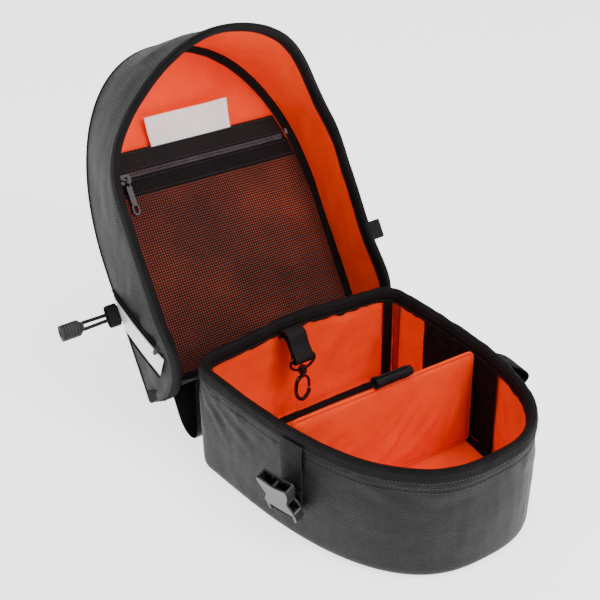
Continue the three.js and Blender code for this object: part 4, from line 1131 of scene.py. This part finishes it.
def lid_inside():
    def slack(s, t):
        nose = bell(s, 0.5, 0.16)
        free = math.sin(math.pi * clamp(t))
        folds = math.sin(s * RIM_LENGTH / 11 + 2 * drift(s * 20, t * 2, 4))
        return free * (1.4 * rumple(s * RIM_LENGTH, t * 90, 70) + 1.5 * nose * folds + 0.4) * (1
                if min(s, 1 - s) > 0.02 else 0)

    skin("lid_side_lining", lambda s, t: gusset(s, 0.06 + t * 0.87, 3.4), 420, 34, (RIM_LENGTH, 80), LINING,
         "lid",
         puff=lambda s, t: -slack(s, t), replaces=["lid_gusset_lining"], slot="lining")
    points, uvs = [], []
    rows, columns = 110, 70
    for j in range(rows):
        v = TAIL + 5 + (NOSE - 9 - TAIL) * j / (rows - 1)
        half = max(panel_half(v, 4.2), 0.4)
        for i in range(columns + 1):
            x = half * math.sin((i / columns - 0.5) * math.pi)
            swell = 1.3 * rumple(x, v, 80) if v > 196 else 0
            points.append(lid(x, v, LINING_D + max(swell, -1.5)))
            uvs.append((x, v))
    make("lid_top_lining", points, grid(rows, columns + 1), uvs, LINING, "lid", replaces=["lid_panel_lining"],
         slot="lining")

    def tape(s, t):
        inward = 4.4 + 6.2 * (1 - t)
        depth = 6.0 + 5.0 * t
        return gusset(s, depth / gusset_depth(s), inward - 2.0 * t)

    skin("lid_inside_seam_tape", tape, 400, 8, (RIM_LENGTH, 8), BINDING, "lid",
         puff=lambda s, t: 0.5 * drift(s * 50, t, 8), replaces=["lid_seam_tape"], slot="webbing")
    paint("lid_board", BOARD)


def pocket_edge(v, clearance=11.5):
    return max(panel_half(v, clearance), 1)


SLOPE = 0.035  # the pocket's opening runs very slightly uphill to the left


def pocket():
    def flat(low, high, rows, depth, name, material, slot, replaces, bulge=0.0, clearance=11.5, wave=0.5):
        def at(s, t):
            v = low + (high - low) * t
            x = pocket_edge(v, clearance) * (2 * s - 1)
            sag = bulge * math.sin(math.pi * s) * math.sin(math.pi * clamp(t))
            return lid(x, v + SLOPE * -x * soft_step(-10, 150, v), depth + sag)
        return skin(name, at, 120, rows, (220, high - low), material, "lid",
                    puff=lambda s, t: wave * rumple(s * 220, low + (high - low) * t, low * 0.1),
                    replaces=replaces, slot=slot)

    flat(177.4, 197, 12, POCKET_D + 2.2, "pocket_top_webbing", WEBBING, "webbing", ["pocket_header"])
    flat(170, 180, 8, POCKET_D + 1.3, "zipper_backing_tape", BINDING, "webbing", [], wave=0.1)
    flat(155, 172.4, 12, POCKET_D + 2.4, "pocket_zipper_tape", BINDING, "webbing", ["pocket_tape"])
    net = flat(-12, 156, 110, POCKET_D + 1.4, "pocket_netting", NETTING, "mesh", ["pocket_mesh"], bulge=5.0,
               clearance=10, wave=1.2)
    lines = []
    for v in (195, 179.6, 157.4, 170.4):
        lines.append([lid(x, v - SLOPE * x, POCKET_D + 3.3)
                      for x in np.linspace(-pocket_edge(v) + 3, pocket_edge(v) - 3, 90)])
    stitches("pocket_stitches", lines, "lid", pitch=3.0, length=2.0)


def zipper_teeth():
    """The coil: two rows of nylon turns, interleaved, 1.7 mm apart."""
    points, faces, uvs = [], [], []
    y0, pitch = 175, 1.7
    half = pocket_edge(y0) - 3
    count = int(2 * half / pitch)
    for k in range(count):
        x = -half + k * pitch
        for row in (-1, 1):
            start = len(points)
            shift = x + (pitch / 2 if row > 0 else 0)
            for i in range(7):
                a = math.pi * i / 6
                v = y0 + row * (0.2 + 2.1 * (1 - math.cos(a)) / 2)
                d = POCKET_D + 1.6 + 2.0 * math.sin(a)
                for u, w in ((-0.55, 0), (0, 0.5), (0.55, 0), (0, -0.5)):
                    points.append(lid(shift + u, v + w * 0.3 - SLOPE * x, d + w))
                    uvs.append((u, i))
            for i in range(6):
                for m in range(4):
                    a0, a1 = start + i * 4 + m, start + i * 4 + (m + 1) % 4
                    faces.append((a0, a1, a1 + 4, a0 + 4))
            faces.append(tuple(start + m for m in reversed(range(4))))
            faces.append(tuple(start + 24 + m for m in range(4)))
    make("zipper_coil_turns", points, faces, uvs, COIL_PAINTED_GLINT, "lid", replaces=["zipper_coil"],
         slot="zipper_tape_coil")
    # The stops take the coil's light grey, a painted highlight.
    for name in ("zipper_stop_left", "zipper_stop_right"):
        paint(name, COIL_PAINTED_GLINT)
    paint("zipper_slider", SLIDER_PAINT)
    paint("zipper_pull", SLIDER_PAINT)


def label():
    def at(s, t):
        x = -43 + 88 * s
        curl = 9 * soft_step(0.7, 1.0, s) * (0.3 + 0.7 * t)
        lift = 2.2 * math.sin(math.pi * s) * t + 3.5 * t * t
        return lid(x - 1.5 * soft_step(0.8, 1, s), 195.5 + 27.5 * t - SLOPE * x, POCKET_D + 3.4 + curl + lift)

    piece = skin("woven_label", at, 44, 14, (88, 27.5), LABEL, "lid",
                 puff=lambda s, t: 0.4 * drift(s * 5, t * 2, 3), replaces=["blank_label"], slot="label")
    solidify(piece, 0.5)


def solidify(piece, thick):
    modifier = piece.modifiers.new("thickness", "SOLIDIFY")
    modifier.thickness = thick * MM
    modifier.offset = 0


# ---------------------------------------------------------------- hinge fabric
def spine():
    """The hinge fabric: a flap on the lid and a slack fold on the tub. Each is a profile swept across the back."""
    x0 = 105  # half the hinge's width

    def across(profile):
        def at(s, t):
            i = min(int(t * (len(profile) - 1)), len(profile) - 2)
            p = profile[i].lerp(profile[i + 1], t * (len(profile) - 1) - i)
            return (-x0 + 2 * x0 * s, p.y, p.z)
        return at

    flap = [Vector((0, y, z)) for y, z in ((189, 42), (180, 52.5), (168, 63), (155, 72), (146, 77.8),
            (141.4, 80.4))]
    piece = skin("hinge_flap", across(flap), 80, 24, (2 * x0, 64), SHELL, "lid",
                 puff=lambda s, t: 1.4 * rumple(s * 210, t * 60, 90) * math.sin(math.pi * t),
                 replaces=["spine_flap"], slot="shell")
    solidify(piece, 1.4)
    fold = smooth_path([(0, 181, 46), (0, 176, 38), (0, 168, 22), (0, 158, 13.5), (0, 148, 12.5), (0, 142, 18),
                        (0, 140.4, 34),
                        (0, 140.2, 60), (0, 140.4, 78)], 3)
    slack = skin("slack_hinge_fold", across(fold), 90, 50, (2 * x0, 132), SHELL, "tub",
                 puff=lambda s, t: 1.5 * rumple(s * 210, t * 130, 95) * math.sin(math.pi * t),
                 replaces=["spine_fold"], slot="shell")
    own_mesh(slack)


# ---------------------------------------------------------------- shock cord, its loops and its pull
ANCHORS = [(61, 10), (196, 12), (240, 16)]  # loops of the cord: (place along the lid, in from its edge)
NOSE_LOOP = (17, 278)  # the two loops at the nose: (out from the middle, along)
CORD_RADIUS = 1.7
CORD_LEVEL, CORD_OVER = -3, -7.6  # depth of the cord, and where it passes over itself
CORD_OUT = 38  # how far its two ends stand out past the lid


def shock_cord():
    """One length of elastic cord laced through the loops on the lid's top, its two ends in the pull at the left."""
    level, over = CORD_LEVEL, CORD_OVER
    first, second, third = [v for v, _ in ANCHORS]
    hold = [panel_half(v) - inset for v, inset in ANCHORS]

    def through(k, side, direction):
        return [(side * (hold[k] - (2.6 if abs(d) > 8 else 0)), ANCHORS[k][0] + direction * d, level)
                for d in (-13, -7, 0, 7, 13)]

    x0 = hold[0]
    out = HALF + CORD_OUT
    route = [(-out, first + 3, level), (-HALF - 4, first + 2.4, level), (-x0, first + 2.4, level),
             (12 - x0, first + 4, level),
             (0, (first + second) / 2, level)]
    route += through(1, 1, 1) + through(2, -1, 1)
    route += [(-34, NOSE_LOOP[1] - 3, level), (-NOSE_LOOP[0], NOSE_LOOP[1], level),
              (NOSE_LOOP[0], NOSE_LOOP[1], level),
              (34, NOSE_LOOP[1] - 3, level)]
    route += through(2, 1, -1) + [(0, (second + third) / 2, over)] + through(1, -1, -1)
    route += [(0, (first + second) / 2, over)] + through(0, 1, -1)
    route += [(x0 - 16, first - 19, level), (0, first - 14, level), (14 - x0, first - 4, level),
              (-x0, first - 2.4, level),
              (-HALF - 4, first - 2.4, level), (-out, first - 3, level)]
    path = smooth_path([lid(*p) for p in route], 3.0)
    tube("elastic_cord", path, CORD_RADIUS, CORD_BRAID, "lid", sides=10, ready=True, replaces=["shock_cord"],
         slot="cord")


def cord_loops():
    for side, hand in SIDES:
        for k, (v, inset) in enumerate(ANCHORS):
            x = side * (panel_half(v) - inset)
            if side < 0 and k == 0:
                cord_keeper(v)
            else:
                hump(f"cord_webbing_{hand}_{k + 1}", x, v, 9, 0.6, 11, False, f"cord_loop_{hand}_{k + 1}")
        hump(f"cord_webbing_{hand}_4", side * NOSE_LOOP[0], NOSE_LOOP[1], 8, 0.4, 8, True,
             f"cord_loop_{hand}_4")


def cord_keeper(v):
    """The webbing that holds the cord's two ends: a tab sewn to the lid's top, ending in a flat sleeve."""
    tab = [lid(x, v, d) for x, d in ((-105, -1.0), (-112, -1.3), (-119, -1.4), (-125, -1.0), (-132, -0.6))]
    ribbon("cord_keeper_tab", tab, LID_ALONG, 15, 1.2, WEBBING, "lid", spacing=1.5, slot="webbing")
    ring = [(-8.4, -0.9), (-10, -3), (-8.2, -6.2), (-3, -7.2), (3, -7.2), (8.2, -6.2), (10, -3), (8.4, -0.9),
            (3, -0.1), (-3, -0.1)]
    sleeve = [lid(-129, v + u, d) for u, d in ring + ring[:1]]
    ribbon("cord_keeper_sleeve", sleeve, LID_ACROSS, 11, 1.2, WEBBING, "lid", spacing=1.0,
           replaces=["cord_loop_left_1"], slot="webbing")


def hump(name, x, v, reach, flat, wide, along, replaced):
    rise = 3.2 + flat
    middle, half = -3.0, 3.2
    profile = [(-reach, -1.2), (-rise - 0.8, -1.6), (-rise, middle), (-rise * 0.7, middle - half * 0.8),
               (0, middle - half),
               (rise * 0.7, middle - half * 0.8), (rise, middle), (rise + 0.8, -1.6), (reach, -1.2)]
    path = [lid(x, v + d, z) if along else lid(x + d, v, z) for d, z in profile]
    across = LID_ACROSS if along else LID_ALONG
    ribbon(name, path, across, wide, 1.2, WEBBING, "lid", spacing=1.0, replaces=[replaced], slot="webbing")


def cord_end():
    """The rubbery pull moulded over the cord's two ends, with five grooves for the fingers."""
    points, uvs = [], []
    rings, sides = 70, 24
    for i in range(rings):
        q = i / (rings - 1)
        x = -HALF - CORD_OUT - 0.6 - 23.6 * q
        grown, rounded = soft_step(0.04, 0.24, q), math.sqrt(max(1 - max(q - 0.93, 0) ** 2 / 0.0055, 0.1))
        wide, thick = (4.4 + 3.2 * grown) * rounded, (3.0 + 0.9 * grown) * rounded
        dip = 0.75 * clamp(1.6 * math.sin(2 * math.pi * 5 * (q - 0.27) / 0.66) - 0.3) if 0.27 < q < 0.93 else 0
        for k in range(sides):
            a = 2 * math.pi * k / sides
            cu, cw = math.cos(a), math.sin(a)
            u, w = [reach * math.copysign(abs(c) ** 0.55, c) for reach,
                    c in ((wide - dip, cu), (thick - dip, cw))]
            points.append(lid(x, ANCHORS[0][0] + u, CORD_LEVEL + w))
            uvs.append((q * 24, k))
    faces = grid(rings, sides, tube=True)
    faces += ends(rings, sides)
    make("cord_end_pull", points, faces, uvs, PULL_RUBBER, "lid", replaces=["cord_pull"],
         slot="moulded_plastic")


def closing_straps():
    for side, hand in SIDES:
        v = 138
        root = panel_half(v) - 9
        path = [lid(side * (root - d), v, z) for d, z in ((0, -1.2), (4, -1.6), (16, -1.6), (31, -1.6))]
        ribbon(f"closing_webbing_{hand}", path, LID_ALONG, 25, 1.2, WEBBING, f"plug_{hand}",
               replaces=[f"plug_strap_{hand}"], slot="webbing")


def pull_tab():
    x, v, d = RIM_HALF + 3.4, 58, 65
    path = [lid(x + a, v, d + b) for a, b in ((0, -1.4), (7, -1.3), (11, -1.2), (12, 0), (11, 1.2), (7, 1.3),
            (0, 1.4))]
    ribbon("lift_tab", path, LID_ALONG, 18, 1.3, WEBBING, "lid", spacing=1.0, replaces=["lid_pull_tab"],
           slot="webbing")
    rows = [[lid(x + 5, v + u, d - 2.2) for u in np.linspace(-7, 7, 10)]]
    stitches("lift_tab_stitches", rows, "lid", pitch=2.4, length=1.6, thick=0.5)


# ---------------------------------------------------------------- floor and light
def studio():
    mesh = bpy.data.meshes.new("floor")
    mesh.from_pydata([(-6, -6, -0.0005), (6, -6, -0.0005), (6, 6, -0.0005), (-6, 6, -0.0005)], [],
                     [(0, 1, 2, 3)])
    floor = bpy.data.objects.new("floor", mesh)
    scene.collection.objects.link(floor)
    material = new_material("pale_floor", Roughness=0.9, Base_Color=linear("#fbfbfb"),
                                          Emission_Color=linear("#ffffff"), Emission_Strength=1.9)[0]
    mesh.materials.append(material)
    world = bpy.data.worlds.new("studio")
    scene.world = world
    world.use_nodes = True
    world.node_tree.nodes["Background"].inputs[0].default_value = (1, 1, 1, 1)
    world.node_tree.nodes["Background"].inputs[1].default_value = 0.62
    for name, place, size, power in (("key", (0.5, -1.9, 1.9), 1.1, 44), ("left", (-2.2, 0.0, 1.1), 0.9, 9),
                                     ("top", (0.1, -0.3, 2.6), 1.4, 24)):
        light = bpy.data.objects.new(name, bpy.data.lights.new(name, "AREA"))
        scene.collection.objects.link(light)
        light.data.size = size
        light.data.energy = power
        light.location = place
        light.rotation_euler = (Vector((0, 0.05, 0.12)) - Vector(place)).to_track_quat("-Z", "Y").to_euler()


shock_cord()
studio()
tub_shell()
tub_binding()
tub_inside()
corner_tapes()
loop_fields()
divider()
grab_loop()
key_leash()
side_straps()
lid_outside()
side_trim()
lid_binding()
lid_inside()
pocket()
zipper_teeth()
label()
spine()
cord_loops()
closing_straps()
pull_tab()
cord_end()
paint("tub_base", SHELL)
paint("wall_foam", FOAM)
paint("base_board", BOARD)
